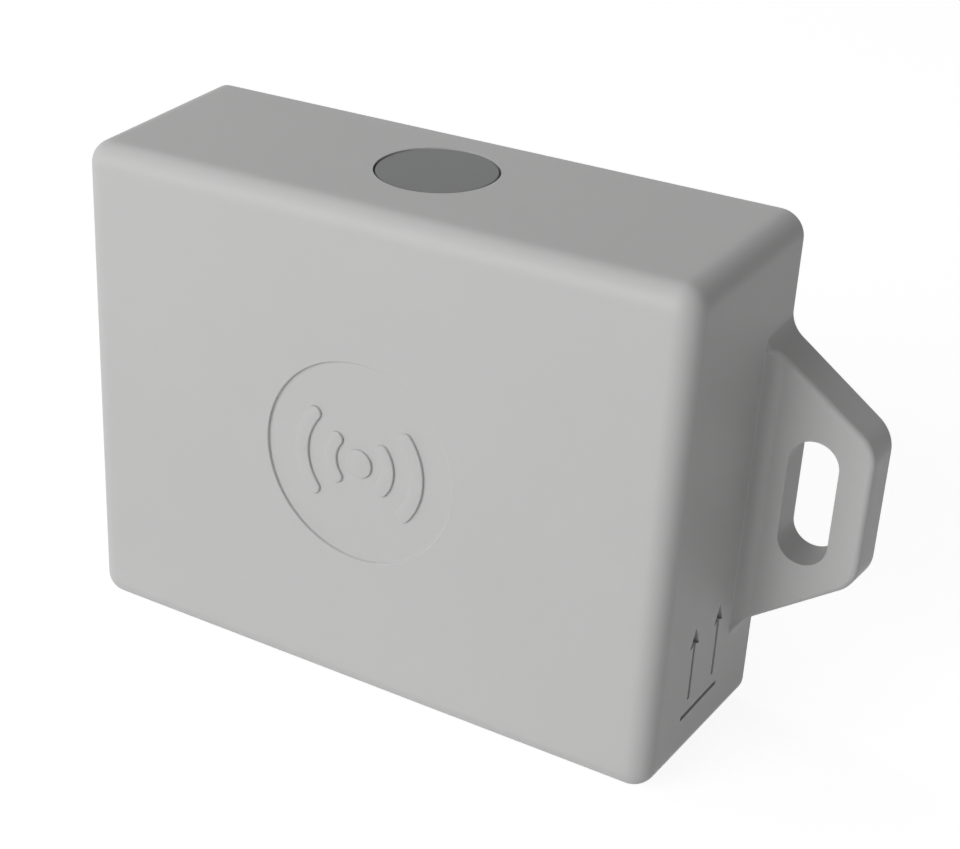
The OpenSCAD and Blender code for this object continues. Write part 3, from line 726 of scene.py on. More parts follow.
def ridge(middle, away, half):
    """A ridge round a middle line: away is the way out from each of its points, half its width.
    The skin rises from under the floor, rounds over and closes on the middle line."""
    rise, drop = round_over(SOFT)
    inset = np.concatenate([[0], drop, [half]])
    flat = middle[:, None] + away[:, None] * (half - inset)[None, :, None]
    flat = np.concatenate([middle[:, None], flat], axis=1)
    y = np.concatenate([[floor_y + SINK] * 2, ridge_top + rise, [ridge_top]])
    y = np.broadcast_to(y, flat.shape[:2])
    return np.stack([flat[..., 0], y, flat[..., 1] + mid_z], axis=-1)


def arc_ridge(radius, side):
    """Middle line and outward way of an arc with round ends: out along the outer side, round the
    end, back along the inner side, round the other end."""
    out = np.linspace(-RIDGE_SPAN / 2, RIDGE_SPAN / 2, ARC_POINTS)
    back = out[::-1]
    end = np.linspace(0, math.pi, END_POINTS)
    spot = np.concatenate([out, back[0] + 0 * end, back, out[0] + 0 * end, out[:1]]) + side
    away = [out, back[0] + end, back + math.pi, out[0] + math.pi + end, out[:1]]
    away = np.concatenate(away) + side
    middle = radius * np.stack([np.cos(spot), np.sin(spot)], axis=1)
    return ridge(middle, np.stack([np.cos(away), np.sin(away)], axis=1), RIDGE_W / 2)


badge_patches.append(grid(ridge(0 * ring(1.0), ring(1.0), DOT_R)))
badge_patches += [
    grid(arc_ridge(k * RIDGE_STEP, side)) for k in (1, 2) for side in (0, math.pi)
]
print("ridges", RIDGE_H, "high on", len(badge_patches), "patches")

# %% [markdown]
# A fixing ear is a plate that grows out of the side wall, flush with the back. It could be a flat
# shape with a Bevel modifier, but its round edges have to die out into the wall. So its outline is
# walked once: up the outer edge, round the corner, down the slope, through the hollow corner at the
# wall and a little way inside it, and the lower half is the mirror image. Each point keeps its way
# out of the plate, so that the same walk can be drawn in by the radius of the front edge.

# %% Sizes of an ear
EAR_T = 4.4
EAR_SLOPE = math.radians(35.7)
EAR_ROOT = 15.74
EAR_CORNER_R = 3.8
EAR_ROOT_R = 3.0
EAR_EDGE_R = 0.6
EAR_LEAN = 0.3
EAR_IN = 0.7
# The hollow at the root: how far it climbs, how steeply, and the round at its foot
ROOT_RISE = 1.5
ROOT_LEAN = math.radians(25)
ROOT_ROUND = 1.25
side = body_w / 2
ear_y = back_y - EAR_T
to_corner = case_hi[0] - side - EAR_CORNER_R
slope_m = math.tan(EAR_SLOPE)
slope_k = math.hypot(1, slope_m)
corner_z = EAR_ROOT - slope_m * to_corner - EAR_CORNER_R * slope_k
corner_at = np.array([side + to_corner, corner_z])
root_at = np.array([side + EAR_ROOT_R, EAR_ROOT + EAR_ROOT_R * (slope_k - slope_m)])
root_run = ROOT_RISE * math.tan(ROOT_LEAN) + ROOT_ROUND * math.tan(math.pi / 4 - ROOT_LEAN / 2)
print("ear reaches %.1f out, corner at" % (to_corner + EAR_CORNER_R), corner_at.round(2))


def arc_points(center, r, first, last, cells):
    """Points on an arc and the directions out of it, ends included, angles in radians."""
    a = np.linspace(first, last, cells + 1)
    way = np.stack([np.cos(a), np.sin(a)], axis=1)
    return center + r * way, way


# %% Outline of an ear
EDGE_CELLS, CORNER_CELLS, SLOPE_CELLS, RAMP_CELLS, ROOT_CELLS = 6, 12, 16, 10, 16
ACROSS = 10
up = math.pi / 2 - EAR_SLOPE
corner_arc, corner_ways = arc_points(corner_at, EAR_CORNER_R, 0, up, CORNER_CELLS)
root_arc, root_ways = arc_points(root_at, EAR_ROOT_R, math.pi + up, math.pi, ROOT_CELLS)
slope_way = corner_ways[-1]
slope_top, slope_foot = corner_arc[-1], root_arc[0]
ramp_x = side + root_run + (EAR_EDGE_R + EAR_LEAN) * slope_way[0]
ramp_share = (slope_top[0] - ramp_x) / (slope_top[0] - slope_foot[0])
ramp_point = slope_top * (1 - ramp_share) + slope_foot * ramp_share
inside = root_arc[-1] - [EAR_IN, 0]
walk = [
    (steps((corner_arc[0][0], 0), corner_arc[0], EDGE_CELLS)[:-1], [[1.0, 0.0]] * EDGE_CELLS),
    (corner_arc, corner_ways),
    (steps(slope_top, ramp_point, SLOPE_CELLS)[1:], [slope_way] * SLOPE_CELLS),
    (steps(ramp_point, slope_foot, RAMP_CELLS)[1:], [slope_way] * RAMP_CELLS),
    (root_arc[1:], -root_ways[1:]),
    (inside[None], [[-1.0, 1.0]]),
]
edge_half, way_half = [np.concatenate(part) for part in zip(*walk)]
ramp_index = EDGE_CELLS + len(corner_arc) + SLOPE_CELLS - 1
hidden_z = np.linspace(inside[1] - EAR_EDGE_R, EAR_EDGE_R - inside[1], ACROSS + 1)[1:-1]
hidden = np.stack([np.full(ACROSS - 1, inside[0]), hidden_z], axis=1)
edge = np.concatenate([edge_half, hidden, edge_half[::-1] * [1, -1]])
hidden_ways = [[-1.0, 0.0]] * (ACROSS - 1)
ways = np.concatenate([way_half, hidden_ways, way_half[::-1] * [1, -1]])
print("ear outline of", len(edge), "points")

# %% [markdown]
# The plate comes out of its mould forwards, so its sides have draft too: the outer edge leans with
# the box, and the two slopes by 0.3 mm over the plate's thickness. Tapering the whole plate would
# lean the hidden end as well, so each point of the front outline is moved in by its own share.

# %% The lean of the slopes, and the depth of the front
lean = EAR_LEAN / slope_way[1] * np.abs(ways[:, 1:]) * (ways[:, :1] > 0)
front_outline = edge - ways * lean
drawn_in = front_outline - ways * EAR_EDGE_R


def front_depth(x):
    """Depth of the ear's front: a steep line at the wall, then a quarter round out to the plate."""
    away = np.clip(x - side, 0, root_run)
    line = away / math.tan(ROOT_LEAN) - ROOT_RISE
    left = root_run - away
    arc = np.sqrt(np.maximum(ROOT_ROUND**2 - left**2, 0)) - ROOT_ROUND
    return ear_y + np.where(left > ROOT_ROUND * math.cos(ROOT_LEAN), line, arc)


def drafted(flat, y):
    """Points (x, z) at a depth, with x drawn in by the draft as the depth grows less."""
    x = flat[..., 0] - slant * (back_y - y)
    return np.stack([x, np.broadcast_to(y, x.shape), flat[..., 1] + mid_z], axis=-1)


print("the lean is %.2f to %.2f mm" % (lean.min(), lean.max()))

# %% [markdown]
# The front of the plate isn't one plane: along the root it climbs up the wall in a hollow, steep at
# first and then round. So the skin has several parts. The plane with the slot in it is a flat face,
# the hollow is a grid whose depth follows from the distance to the wall, and the slot is a tube.

# %% The slot, the plane round it and the hollow
SLOT_W, SLOT_L, SLOT_OUT = 5.0, 13.2, 5.4
SLOT_SOFT = 0.08
SLOT_CELLS = 32
slot_end = (SLOT_L - SLOT_W) / 2


def slot_ring(grow):
    """The slot's outline, grown by a little: two half circles and the lines between them."""
    x, r = side + SLOT_OUT, SLOT_W / 2 + grow
    top, _ = arc_points((x, slot_end), r, 0, math.pi, SLOT_CELLS)
    low, _ = arc_points((x, -slot_end), r, math.pi, 2 * math.pi, SLOT_CELLS)
    return np.concatenate([top, low, top[:1]])


slot_rows = [at_depth(ear_y + d, mid_z)(slot_ring(i)) for i, d in zip(*round_over(SLOT_SOFT))]
slot_rows.append(at_depth(back_y, mid_z)(slot_ring(0)))
upper = drawn_in[ramp_index : len(edge_half)]
fan = np.linspace(1, -1, ACROSS + 1)
hollow = np.stack(np.broadcast_arrays(upper[:, :1], upper[:, 1:] * fan), axis=-1)
plane = [hollow[0][1:-1][::-1], drawn_in[-ramp_index - 1 :], drawn_in[: ramp_index + 1]]
plane = np.concatenate(plane) - [slant * EAR_T, 0]
print("slot", SLOT_W, "x", SLOT_L)

# %% [markdown]
# The front edge is a quarter round that goes on into the side face, and the back is a flat face
# again. The ear could be cut off at the wall, but it is simpler to let its end run on inside. There
# its back dips a hair under the box's, because two faces in one plane would flicker.

# %% The ear's edge, side and back, and the ears
EDGE_STEPS = 8
UNDER = 0.05
start = front_depth(drawn_in[:, 0])
edge_angles = np.linspace(0, math.pi / 2, EDGE_STEPS + 1)
skirt = [
    drafted(front_outline - ways * i, start + d)
    for i, d in zip(*round_over(EAR_EDGE_R, edge_angles))
]
is_hidden = np.abs(edge[:, 0] - inside[0]) < WELD
skirt.append(drafted(edge, np.where(is_hidden, back_y - UNDER, back_y)))
skirt = np.stack(skirt, axis=1)
far = len(edge_half) - 2
back_line = steps(edge[far], edge[far] * [1, -1], ACROSS)
back_loop = np.concatenate([back_line[1:-1][::-1], edge[-far - 1 :], edge[: far + 1]])
back_inner = np.concatenate([inside[None], hidden, [inside * [1, -1]]])
back_strip = np.stack([back_line, back_inner])
right_ear = [
    flat_face([plane, slot_ring(SLOT_SOFT)[:-1]], at_depth(ear_y, mid_z)),
    grid(drafted(hollow, front_depth(hollow[..., 0]))),
    grid(np.concatenate([skirt, skirt[:1]])),
    flat_face([back_loop, slot_ring(0)[:-1]], at_depth(back_y, mid_z)),
    grid(drafted(back_strip, np.array([[back_y], [back_y - UNDER]]))),
    grid(np.stack(slot_rows, axis=1)),
]
left_ear = [(points * [-1, 1, 1], faces) for points, faces in right_ear]
print("ear reaches", right_ear[2][0][:, 0].max().round(2), "and is", EAR_T, "thick")

# %% [markdown]
# Inside the case stand the bosses for the cover's screws with their ribs, the posts for the board
# and the two stakes that hold the clamp. They are hidden while the cover is on and could be left
# out, but the part can be opened. Each is a closed solid that reaches a little into its wall, which
# is simpler than cutting it into the wall's skin and looks the same.

# %% Sizes of bosses, ribs and posts
BOSS_R, RIB_T, RIB_SHORT = 3.2, 1.2, 1.0
INSERT_R, INSERT_L, INSERT_GAP = 2.0, 4.0, 0.05
POST_R, PILOT_R, PILOT_END, LOW_POST_X = 2.3, 1.05, 0.65, 14.0
PAN_R = 1.9
ROD_CELLS = 48
rod_circle = np.linspace(0, 2 * math.pi, ROD_CELLS + 1)
boss_x, _, boss_z = box_mm("thread_inserts")[1] - [INSERT_R, 0, INSERT_R + mid_z]
holes_at = [(sx * boss_x, mid_z + sz * boss_z) for sx in (-1, 1) for sz in (-1, 1)]
board_y = box_mm("circuit_board")[0][1]
pan_lo, pan_hi = box_mm("board_screws")
high_posts = [(s * (pan_hi[0] - PAN_R), pan_hi[2] - PAN_R) for s in (-1, 1)]
low_posts = [(s * LOW_POST_X, pan_lo[2] + PAN_R) for s in (-1, 1)]
print("screws at %.1f, %.1f from the middle" % (boss_x, boss_z))


def rod(x, z, r, y0, y1, bore, bore_y):
    """A rod along the depth, with a blind bore from its back end."""
    profile = [(0, y0), (r, y0), (r, y1), (bore, y1), (bore, bore_y), (0, bore_y)]
    return grid(turned(profile, (x, 0, z), angles=rod_circle))


def bar(low, high):
    """A plain bar between two corners, as a section carried once round its upright axis."""
    (x0, y0, z0), (x1, y1, z1) = low, high
    low_ring = np.array([(x0, y0, z0), (x1, y0, z0), (x1, y1, z0), (x0, y1, z0), (x0, y0, z0)])
    high_ring = low_ring + [0, 0, z1 - z0]
    center = np.array([(x0 + x1) / 2, (y0 + y1) / 2, 0])
    foot, head = center + [0, 0, z0] + 0 * low_ring, center + [0, 0, z1] + 0 * low_ring
    return grid(np.stack([foot, low_ring, high_ring, head], axis=1))


# %% Bosses, ribs and posts
reach, rib_y = inner_y - SINK, cover_in_y - RIB_SHORT
insert_end = cover_in_y - INSERT_L
inner_patches = []
for x, z in holes_at:
    far_x = np.sign(x) * (cavity_w / 2 + SINK)
    far_z = mid_z + np.sign(z - mid_z) * (cavity_h / 2 + SINK)
    xs, zs = sorted([x, far_x]), sorted([z, far_z])
    inner_patches += [
        rod(x, z, BOSS_R, reach, cover_in_y, INSERT_R + INSERT_GAP, insert_end),
        bar((xs[0], reach, z - RIB_T / 2), (xs[1], rib_y, z + RIB_T / 2)),
        bar((x - RIB_T / 2, reach, zs[0]), (x + RIB_T / 2, rib_y, zs[1])),
    ]
for x, z in high_posts + low_posts:
    inner_patches.append(rod(x, z, POST_R, reach, board_y, PILOT_R, inner_y + PILOT_END))
print(len(inner_patches), "solids stand on the front wall")

# %% The two stakes, and the case as one piece
STAKE_R, STAKE_HEAD_R, STAKE_HEAD_H, STAKE_FACE, LOBE_R = 0.8, 1.3, 0.6, 0.8, 2.0
clamp_lo, clamp_hi = box_mm("boot_clamp")
stake_x, clamp_z = clamp_hi[0] - LOBE_R, clamp_lo[2]
stake_end = clamp_z - STAKE_HEAD_H
stake_profile = [(0, stake_end), (STAKE_HEAD_R * STAKE_FACE, stake_end)]
stake_profile += [(STAKE_HEAD_R, clamp_z - STAKE_HEAD_H * 0.5), (STAKE_HEAD_R, clamp_z)]
stake_profile += [(STAKE_R, clamp_z), (STAKE_R, seat_z + SINK), (0, seat_z + SINK)]
stakes = [grid(turned(stake_profile, (s * stake_x, button_y, 0), UPRIGHT)) for s in (-1, 1)]
case_patches = [
    grid(outer, keep_top & keep_side),
    grid(back_rim),
    grid(inner, keep_roof),
    grid(inner_front),
]
case_patches += right_ear + left_ear
case_patches += hole_patches + mark_patches + badge_patches + inner_patches + stakes
piece("case_moulding", case_patches, "housing", "shell_plastic", ["case"])

# %% [markdown]
# The button is a plain disc whose face is cut parallel to the drafted roof and sits just under it.
# A level cylinder would stand proud on one side. So its height is the roof's height at each point,
# less a drop that rounds the edge.

# %% Button
BUTTON_SINK = 0.06
BUTTON_SOFT = 0.15
inset, drop = round_over(BUTTON_SOFT)
cap_radius = np.concatenate([[0, button_r * 0.5], button_r - inset])
cap_drop = np.concatenate([[0, 0], drop])


def button_skin():
    """Rows of growing radius under the roof's plane, then straight down and in underneath."""
    face = spun(cap_radius, 0, (0, button_y, 0), UPRIGHT)
    face[..., 2] = top_z(face[..., 1]) - BUTTON_SINK - cap_drop
    under = turned([(button_r, cap_lo[2]), (0, cap_lo[2])], (0, button_y, 0), UPRIGHT)
    return np.concatenate([face, under], axis=1)


piece("button_disc", [grid(button_skin())], "button", "button_plastic", ["button_cap"])

# %% [markdown]
# The back cover is a plate let into the rim, with four countersunk holes and a groove for the
# gasket in its inner face. Its edge could be bevelled afterwards, but the case's outline is at hand
# and carries the edge, the side and the groove in one go. Two flat faces with holes close it.

# %% Back cover
COVER_SOFT = 0.15
HEAD_R, SHANK_R, HOLE_GAP, HEAD_SINK = 2.35, 1.25, 0.1, 0.15
GASKET_W, GASKET_T, GASKET_GAP = 0.7, 0.6, 0.05
gasket_inset = (WALL - RIM) / 2
groove_out = gasket_inset - GASKET_W / 2 - GASKET_GAP
groove_in = gasket_inset + GASKET_W / 2 + GASKET_GAP
groove_y = cover_in_y + GASKET_T


def shrunk(inset, y):
    """A station of the pocket's outline drawn in by an inset."""
    return [pocket_w / 2 - inset, pocket_h / 2 - inset, CORNER_R - RIM - inset, y]


stations = [shrunk(COVER_GAP + i, back_y - d) for i, d in zip(*round_over(COVER_SOFT))]
stations += [shrunk(COVER_GAP, cover_in_y), shrunk(groove_out, cover_in_y)]
stations += [shrunk(groove_out, groove_y), shrunk(groove_in, groove_y)]
stations += [shrunk(groove_in, cover_in_y)]
cover_skin = loft(stations)


def pierced(row, r, y):
    """A flat face inside one row of the cover's skin, with the four screw holes in it."""
    loops = [row[:-1, [0, 2]]] + [ring(r, center)[:-1] for center in holes_at]
    return flat_face(loops, at_depth(y))


mouth_r, bore = HEAD_R + HOLE_GAP, SHANK_R + HOLE_GAP
sink_y = back_y - HEAD_SINK
sink_rows = [(mouth_r, back_y), (mouth_r, sink_y), (bore, sink_y - mouth_r + bore)]
sink_rows += [(bore, cover_in_y)]
cover_patches = [
    grid(cover_skin),
    pierced(cover_skin[:, 0], mouth_r, back_y),
    pierced(cover_skin[:, -1], bore, cover_in_y),
]
cover_patches += [grid(turned(sink_rows, (x, 0, z))) for x, z in holes_at]
piece("cover_plate", cover_patches, "housing", "cover_plastic", ["back_cover"])

# %% [markdown]
# The screws are turned, and a six-lobed socket is pressed into each head. The socket is part of the
# same skin: its radius grows and shrinks six times round, which no turned profile could give. The
# thread could be a helix cut into the shank, but at this size a shank whose radius ripples along a
# helix shows the same and stays light.

# %% Cover screws
SCREW_L = 7.0
SOCKET_R, SOCKET_DEPTH, LOBES, LOBE_SHARE = 0.8, 0.9, 6, 0.16
HEAD_SOFT = 0.12
THREAD_DEPTH, THREAD_PITCH, THREAD_ROWS = 0.09, 0.45, 80
NECK_L, TIP_L, TIP_SHARE = 0.4, 0.3, 0.75


def screw_skin(x, z):
    """Socket floor and wall, head, cone, and a shank whose radius ripples as a thread does: it
    follows the cosine of the angle round the axis plus the turns made so far along it."""
    socket = [(0, sink_y - SOCKET_DEPTH), (SOCKET_R, sink_y - SOCKET_DEPTH), (SOCKET_R, sink_y)]
    head = [(SOCKET_R * 1.5, sink_y), (HEAD_R - HEAD_SOFT, sink_y), (HEAD_R, sink_y - HEAD_SOFT)]
    neck = (SHANK_R, sink_y - HEAD_R + SHANK_R)
    tip_y = sink_y - SCREW_L
    r, y = np.array(socket + head + [neck]).T
    lobed = 1 + LOBE_SHARE * np.cos(LOBES * circle)
    wide = np.where(np.arange(len(r)) < len(socket), lobed[:, None] * r, r)
    depth = np.linspace(neck[1] - NECK_L, tip_y + TIP_L, THREAD_ROWS)
    phase = 2 * math.pi * depth / THREAD_PITCH + circle[:, None]
    thread = SHANK_R - THREAD_DEPTH * (0.5 + 0.5 * np.cos(phase))
    tip = np.tile([SHANK_R * TIP_SHARE, 0.0], (len(circle), 1))
    wide = np.concatenate([wide, thread, tip], axis=1)
    return spun(wide, np.concatenate([y, depth, [tip_y, tip_y]]), (x, 0, z))


screws = [grid(screw_skin(x, z)) for x, z in holes_at]
piece("countersunk_screws", screws, "housing", "screw_steel", ["cover_screws"])

# %% [markdown]
# Brass inserts take the screws. A knurl keeps them from turning in the plastic. It could be a bump,
# but the inserts are seen at a slant when the case is open, so it is real: the outside is
# cross-hatched, and its radius is the product of two waves that wind round in opposite ways.

# %% Thread inserts
KNURLS, KNURL_STEP, KNURL_DEPTH = 24, 0.4, 0.04
BAND_HALF, BAND_DEPTH, INSERT_ROWS = 0.35, 0.12, 41


def insert_skin(x, z):
    """A short tube. Its outer radius is cross-hatched by the product of two crossing waves, with a
    plain band in the middle."""
    y1, y0 = cover_in_y - INSERT_GAP, insert_end
    y = np.linspace(y0, y1, INSERT_ROWS)
    twist = 2 * math.pi * (y - y0) / KNURL_STEP
    around = KNURLS * circle[:, None]
    knurl = KNURL_DEPTH * (1 - np.cos(around + twist) * np.cos(around - twist))
    plain = np.abs(y - (y0 + y1) / 2) < BAND_HALF
    outside = INSERT_R - KNURL_DEPTH - np.where(plain, BAND_DEPTH, knurl)
    inside = np.full((len(circle), 2), SHANK_R + INSERT_GAP)
    wide = np.concatenate([outside, inside, outside[:, :1]], axis=1)
    return spun(wide, np.concatenate([y, [y1, y0, y0]]), (x, 0, z))


inserts = [grid(insert_skin(x, z)) for x, z in holes_at]
piece("knurled_inserts", inserts, "housing", "insert_brass", ["thread_inserts"])

# %% [markdown]
# The gasket is a soft cord in a groove, squeezed to the groove's depth. A bevelled curve would stay
# round, so a section between a circle and a square is carried round the outline of the pocket.

# %% Gasket
GASKET_CELLS = 24


def soft_square(a):
    """A section between a circle and a square: the signed square root of cosine and sine."""
    c, s = np.cos(a), np.sin(a)
    return np.sign(c) * np.abs(c) ** 0.5, np.sign(s) * np.abs(s) ** 0.5


out, back = soft_square(np.linspace(0, 2 * math.pi, GASKET_CELLS + 1))
insets = gasket_inset - GASKET_W / 2 * out
depths = cover_in_y + GASKET_T / 2 + GASKET_T / 2 * back
gasket = [shrunk(i, y) for i, y in zip(insets, depths)]
piece("gasket_cord", [grid(loft(gasket))], "housing", "gasket_rubber", ["cover_gasket"])

# %% [markdown]
# Under the button sits a silicone boot: a clamped rim, a thin web that bends, a core that carries
# the button and a plunger that reaches the switch. It could be one skin that is blended between
# case and button, but the travel is less than the web's thickness. So it is drawn as two rings that
# lap in the web, and they still lap when the button is pressed. A small roll in the web lets it
# stretch. The rim is cut flat at the back to clear the cover.

# %% Button boot
BOOT_T, WEB_T, ROLL, ROUND = 0.8, 0.4, 0.1, 0.2
CORE_IN, WEB_IN, LAP, REAR_GAP = 1.3, 0.3, 0.15, 0.3
PLUNGER_R = 1.9
boot_lo, boot_hi = box_mm("button_boot")
boot_r = (boot_hi[0] - boot_lo[0]) / 2
core_r, web_r = button_r - CORE_IN, bore_r - WEB_IN
lap_r = (core_r + web_r) / 2
web_low, web_high = seat_z - BOOT_T, seat_z - BOOT_T + WEB_T
foot_z, face_z = boot_lo[2], boot_hi[2]


def web(first, last, height):
    """A stretch of the web between two radii: level, plus half a sine wave across its width."""
    r = np.linspace(first, last, 9)
    return np.stack([r, height + ROLL * np.sin(math.pi * (r - core_r) / (web_r - core_r))], axis=1)


plunger = [(0, foot_z), (PLUNGER_R - ROUND, foot_z), (PLUNGER_R, foot_z + ROUND)]
core_web = [web(core_r, lap_r + LAP, web_low), web(lap_r + LAP, core_r, web_high)]
core_face = [(core_r, face_z - ROUND), (core_r - ROUND, face_z), (0, face_z)]
core_profile = np.concatenate([plunger, [(PLUNGER_R, web_low)], *core_web, core_face])
rim_web = [web(lap_r - LAP, web_r, web_low), web(web_r, lap_r - LAP, web_high)]
rim_ring = [(boot_r, web_low), (boot_r, seat_z), (web_r, seat_z)]
rim_profile = np.concatenate([rim_web[0], rim_ring, rim_web[1], rim_web[0][:1]])
rim_skin = turned(rim_profile, (0, button_y, 0), UPRIGHT)
rim_skin[..., 1] = np.minimum(rim_skin[..., 1], cover_in_y - REAR_GAP)
core_skin = turned(core_profile, (0, button_y, 0), UPRIGHT)
piece("boot_rim", [grid(rim_skin)], "housing", "boot_rubber", ["button_boot"])
piece("boot_core", [grid(core_skin)], "button", "boot_rubber")

# %% [markdown]
# A strip of foam on the cover presses the cells into their troughs. Foam gives way where it is
# pressed. A cloth simulation could find that, but two round cells press a flat strip in a way that
# is easily written down: two shallow hollows where they lie. The strip's edges are round.

# %% Foam pad
PAD_ROUND, PRESS, PRESS_REACH = 0.5, 0.12, 1.6
PAD_POINTS = 49
pad_lo, pad_hi = box_mm("battery_pad")


def loop_of(points):
    """The edge of a grid, walked once round and closed."""
    sides = [points[:-1, 0], points[-1, :-1], points[1:, -1][::-1], points[0, ::-1]]
    return np.concatenate(sides)


def foam_skin():
    """A block with four round edges: a quarter circle of the distance to the nearest edge. Each
    cell presses it in by a bump, the square of one less the squared distance from its middle."""
    u = np.linspace(-1, 1, PAD_POINTS)
    (low_x, _, low_z), (wide, _, high) = pad_lo, pad_hi - pad_lo
    x = low_x + wide * (1 + u[:, None]) / 2 + 0 * u
    z = low_z + high * (1 + u) / 2 + 0 * x
    from_side = np.minimum(x - low_x, low_x + wide - x)
    from_end = np.minimum(z - low_z, low_z + high - z)
    t = np.clip(1 - np.minimum(from_side, from_end) / PAD_ROUND, 0, 1)
    y = pad_lo[1] + PAD_ROUND * (1 - np.sqrt(1 - t * t))
    for node in ("battery_upper", "battery_lower"):
        middle = sum(box_mm(node))[2] / 2
        away = np.clip(np.abs(z - middle) / PRESS_REACH, 0, 1)
        y = y + PRESS * (1 - away * away) ** 2
    face = np.stack([x, y, z], axis=-1)
    back = np.stack([x, np.full_like(x, pad_hi[1]), z], axis=-1)
    wall = np.stack([loop_of(face), loop_of(back)], axis=1)
    return [grid(face), grid(back), grid(wall)]


piece("foam_strip", foam_skin(), "housing", "pad_foam", ["battery_pad"])

# %% [markdown]
# The two cells are turned profiles too: a steel can with a flat foot and a small button, and a
# printed sleeve with rolled ends. One skin with two colours would do from afar, but the steel shows
# at both ends behind the sleeve's edge, so the sleeve and the can are two pieces.

# %% Cells
CELL_L, CELL_R, SLEEVE = 44.5, 5.25, 0.08
NUB_L, NUB_R, NUB_SOFT = 1.2, 1.9, 0.2
FOOT_R, FOOT_RIM_R, FOOT_H, CAN_SOFT = 3.4, 3.7, 0.25, 0.6
MOAT_RIM_R, MOAT_R, MOAT_IN_R, MOAT_H = 3.6, 3.3, 2.2, 0.15
# The sleeve's rolls at foot and head, and its hidden side, tucked under the can's surface
ROLL_SOFT, ROLL_FOOT, ROLL_HEAD, ROLL_UP, ROLL_OVER = 0.5, 0.9, 1.0, 0.15, 0.02
TUCK, TUCK_FOOT, TUCK_HEAD, LIP_FOOT, LIP_HEAD = 0.3, 0.9, 0.8, 0.2, 0.3
can_r = CELL_R - SLEEVE


def bead(r, x, dx):
    """A small round edge: a quarter from the end face to the side, dx long and as deep."""
    inset, drop = round_over(abs(dx))
    return list(zip(r - inset, x + np.copysign(drop, dx)))


def can_rows(start, end):
    """The can: its foot, the round edges of its side, the moat round the button, the button."""
    moat, top = end - MOAT_H, end + NUB_L
    rows = [(0, start), (FOOT_R, start), (FOOT_RIM_R, start + FOOT_H)]
    rows += bead(can_r, start + FOOT_H, CAN_SOFT) + bead(can_r, end, -CAN_SOFT)[::-1]
    rows += [(MOAT_RIM_R, end), (MOAT_R, moat), (MOAT_IN_R, moat), (NUB_R, end)]
    return rows + [(NUB_R, top - NUB_SOFT), (NUB_R - NUB_SOFT, top), (0, top)]


def sleeve_rows(start, end):
    """The sleeve: round its outside, rolled in over both ends, and back inside the can's wall."""
    first, lip = (CELL_R - ROLL_FOOT, start + LIP_FOOT), CELL_R - ROLL_HEAD
    rows = [first] + bead(CELL_R, start + ROLL_UP, ROLL_SOFT)
    rows += bead(CELL_R, end + ROLL_OVER, -ROLL_SOFT)[::-1]
    rows += [(lip, end + ROLL_OVER), (lip, end - LIP_HEAD)]
    return rows + [(can_r - TUCK, end - TUCK_HEAD), (can_r - TUCK, start + TUCK_FOOT), first]


cells = []
for node, flip in (("battery_upper", 1), ("battery_lower", -1)):
    low, high = box_mm(node)
    at = (0, *((low + high) / 2)[1:])
    start = low[0] if flip > 0 else -high[0]
    ends = start, start + CELL_L - NUB_L
    can, sleeve = [turned(r(*ends), at, LEVEL) * [flip, 1, 1] for r in (can_rows, sleeve_rows)]
    piece(node + "_can", [grid(can)], "housing", "contact_metal")
    piece(node + "_sleeve", [grid(sleeve)], "housing", "cell_jacket", [node])
    cells.append((at, flip))

# %% [markdown]
# A battery spring is wire wound on a cone. A bevelled curve twists where it turns tightly, so the
# wire's circle is carried along the helix by its own two directions, away from the axis and along
# it. Its ends are closed to a point, so that the tube is a solid.

# %% Battery springs
WIRE_R, BIG_R, SMALL_R, TURNS = 0.25, 3.1, 2.0, 3
TURN_CELLS, WIRE_CELLS = 48, 12
spring_x = box_mm("battery_springs")[0][0]
spring_l = box_mm("battery_upper")[0][0] - spring_x


def spring_skin(at, flip):
    """A helix whose radius shrinks from the plate to the cell, with a round wire round it: the
    middle plus the wire's radius times cosine outwards and sine along the axis."""
    f = np.linspace(0, 1, TURN_CELLS * TURNS + 1)
    a = 2 * math.pi * TURNS * f
    b = np.linspace(0, 2 * math.pi, WIRE_CELLS + 1)[None, :, None]
    r = BIG_R + (SMALL_R - BIG_R) * f
    out = np.stack([0 * a, np.cos(a), np.sin(a)], axis=1)
    side = np.array([1.0, 0.0, 0.0])
    middle = out * r[:, None]
    middle[:, 0] = WIRE_R + (spring_l - 2 * WIRE_R) * f
    wire = middle[:, None] + WIRE_R * (np.cos(b) * out[:, None] + np.sin(b) * side)
    points = np.repeat(middle[[0, -1], None], WIRE_CELLS + 1, axis=1)
    tube = np.concatenate([points[:1], wire, points[1:]])
    return (tube + [spring_x, 0, 0]) * [flip, 1, 1] + at


springs = [grid(spring_skin(at, flip)) for at, flip in cells]
piece("coil_springs", springs, "housing", "contact_metal", ["battery_springs"])

# %% [markdown]
# The rest of the inside is board parts that are plain blocks in reality too. They could be made
# again here, but nothing would be gained: the CAD part's own solids are shown, each with the finish
# of its slot.

# %% Finishes for the CAD solids that stay
shown = 0
for entry in frame["record"]["subparts"]:
    node = frame["nodes"][entry["node"]]
    if not node.hide_render:
        node.data.materials.clear()
        node.data.materials.append(finishes[entry["material_slot"]])
        shown += 1
print(shown, "CAD solids stay in view")

# %% [markdown]
# The tag stands on its lower edge on a plain white ground. Bright light would whiten the floor, but
# it would bleach the object too. So the floor glows by itself for rays that look at it, and only a
# share of it is card that takes the object's shadow. For every other ray it is plain pale card.

# %% Floor
FLOOR_SIZE, FLOOR_UNDER = 6.0, 0.00002
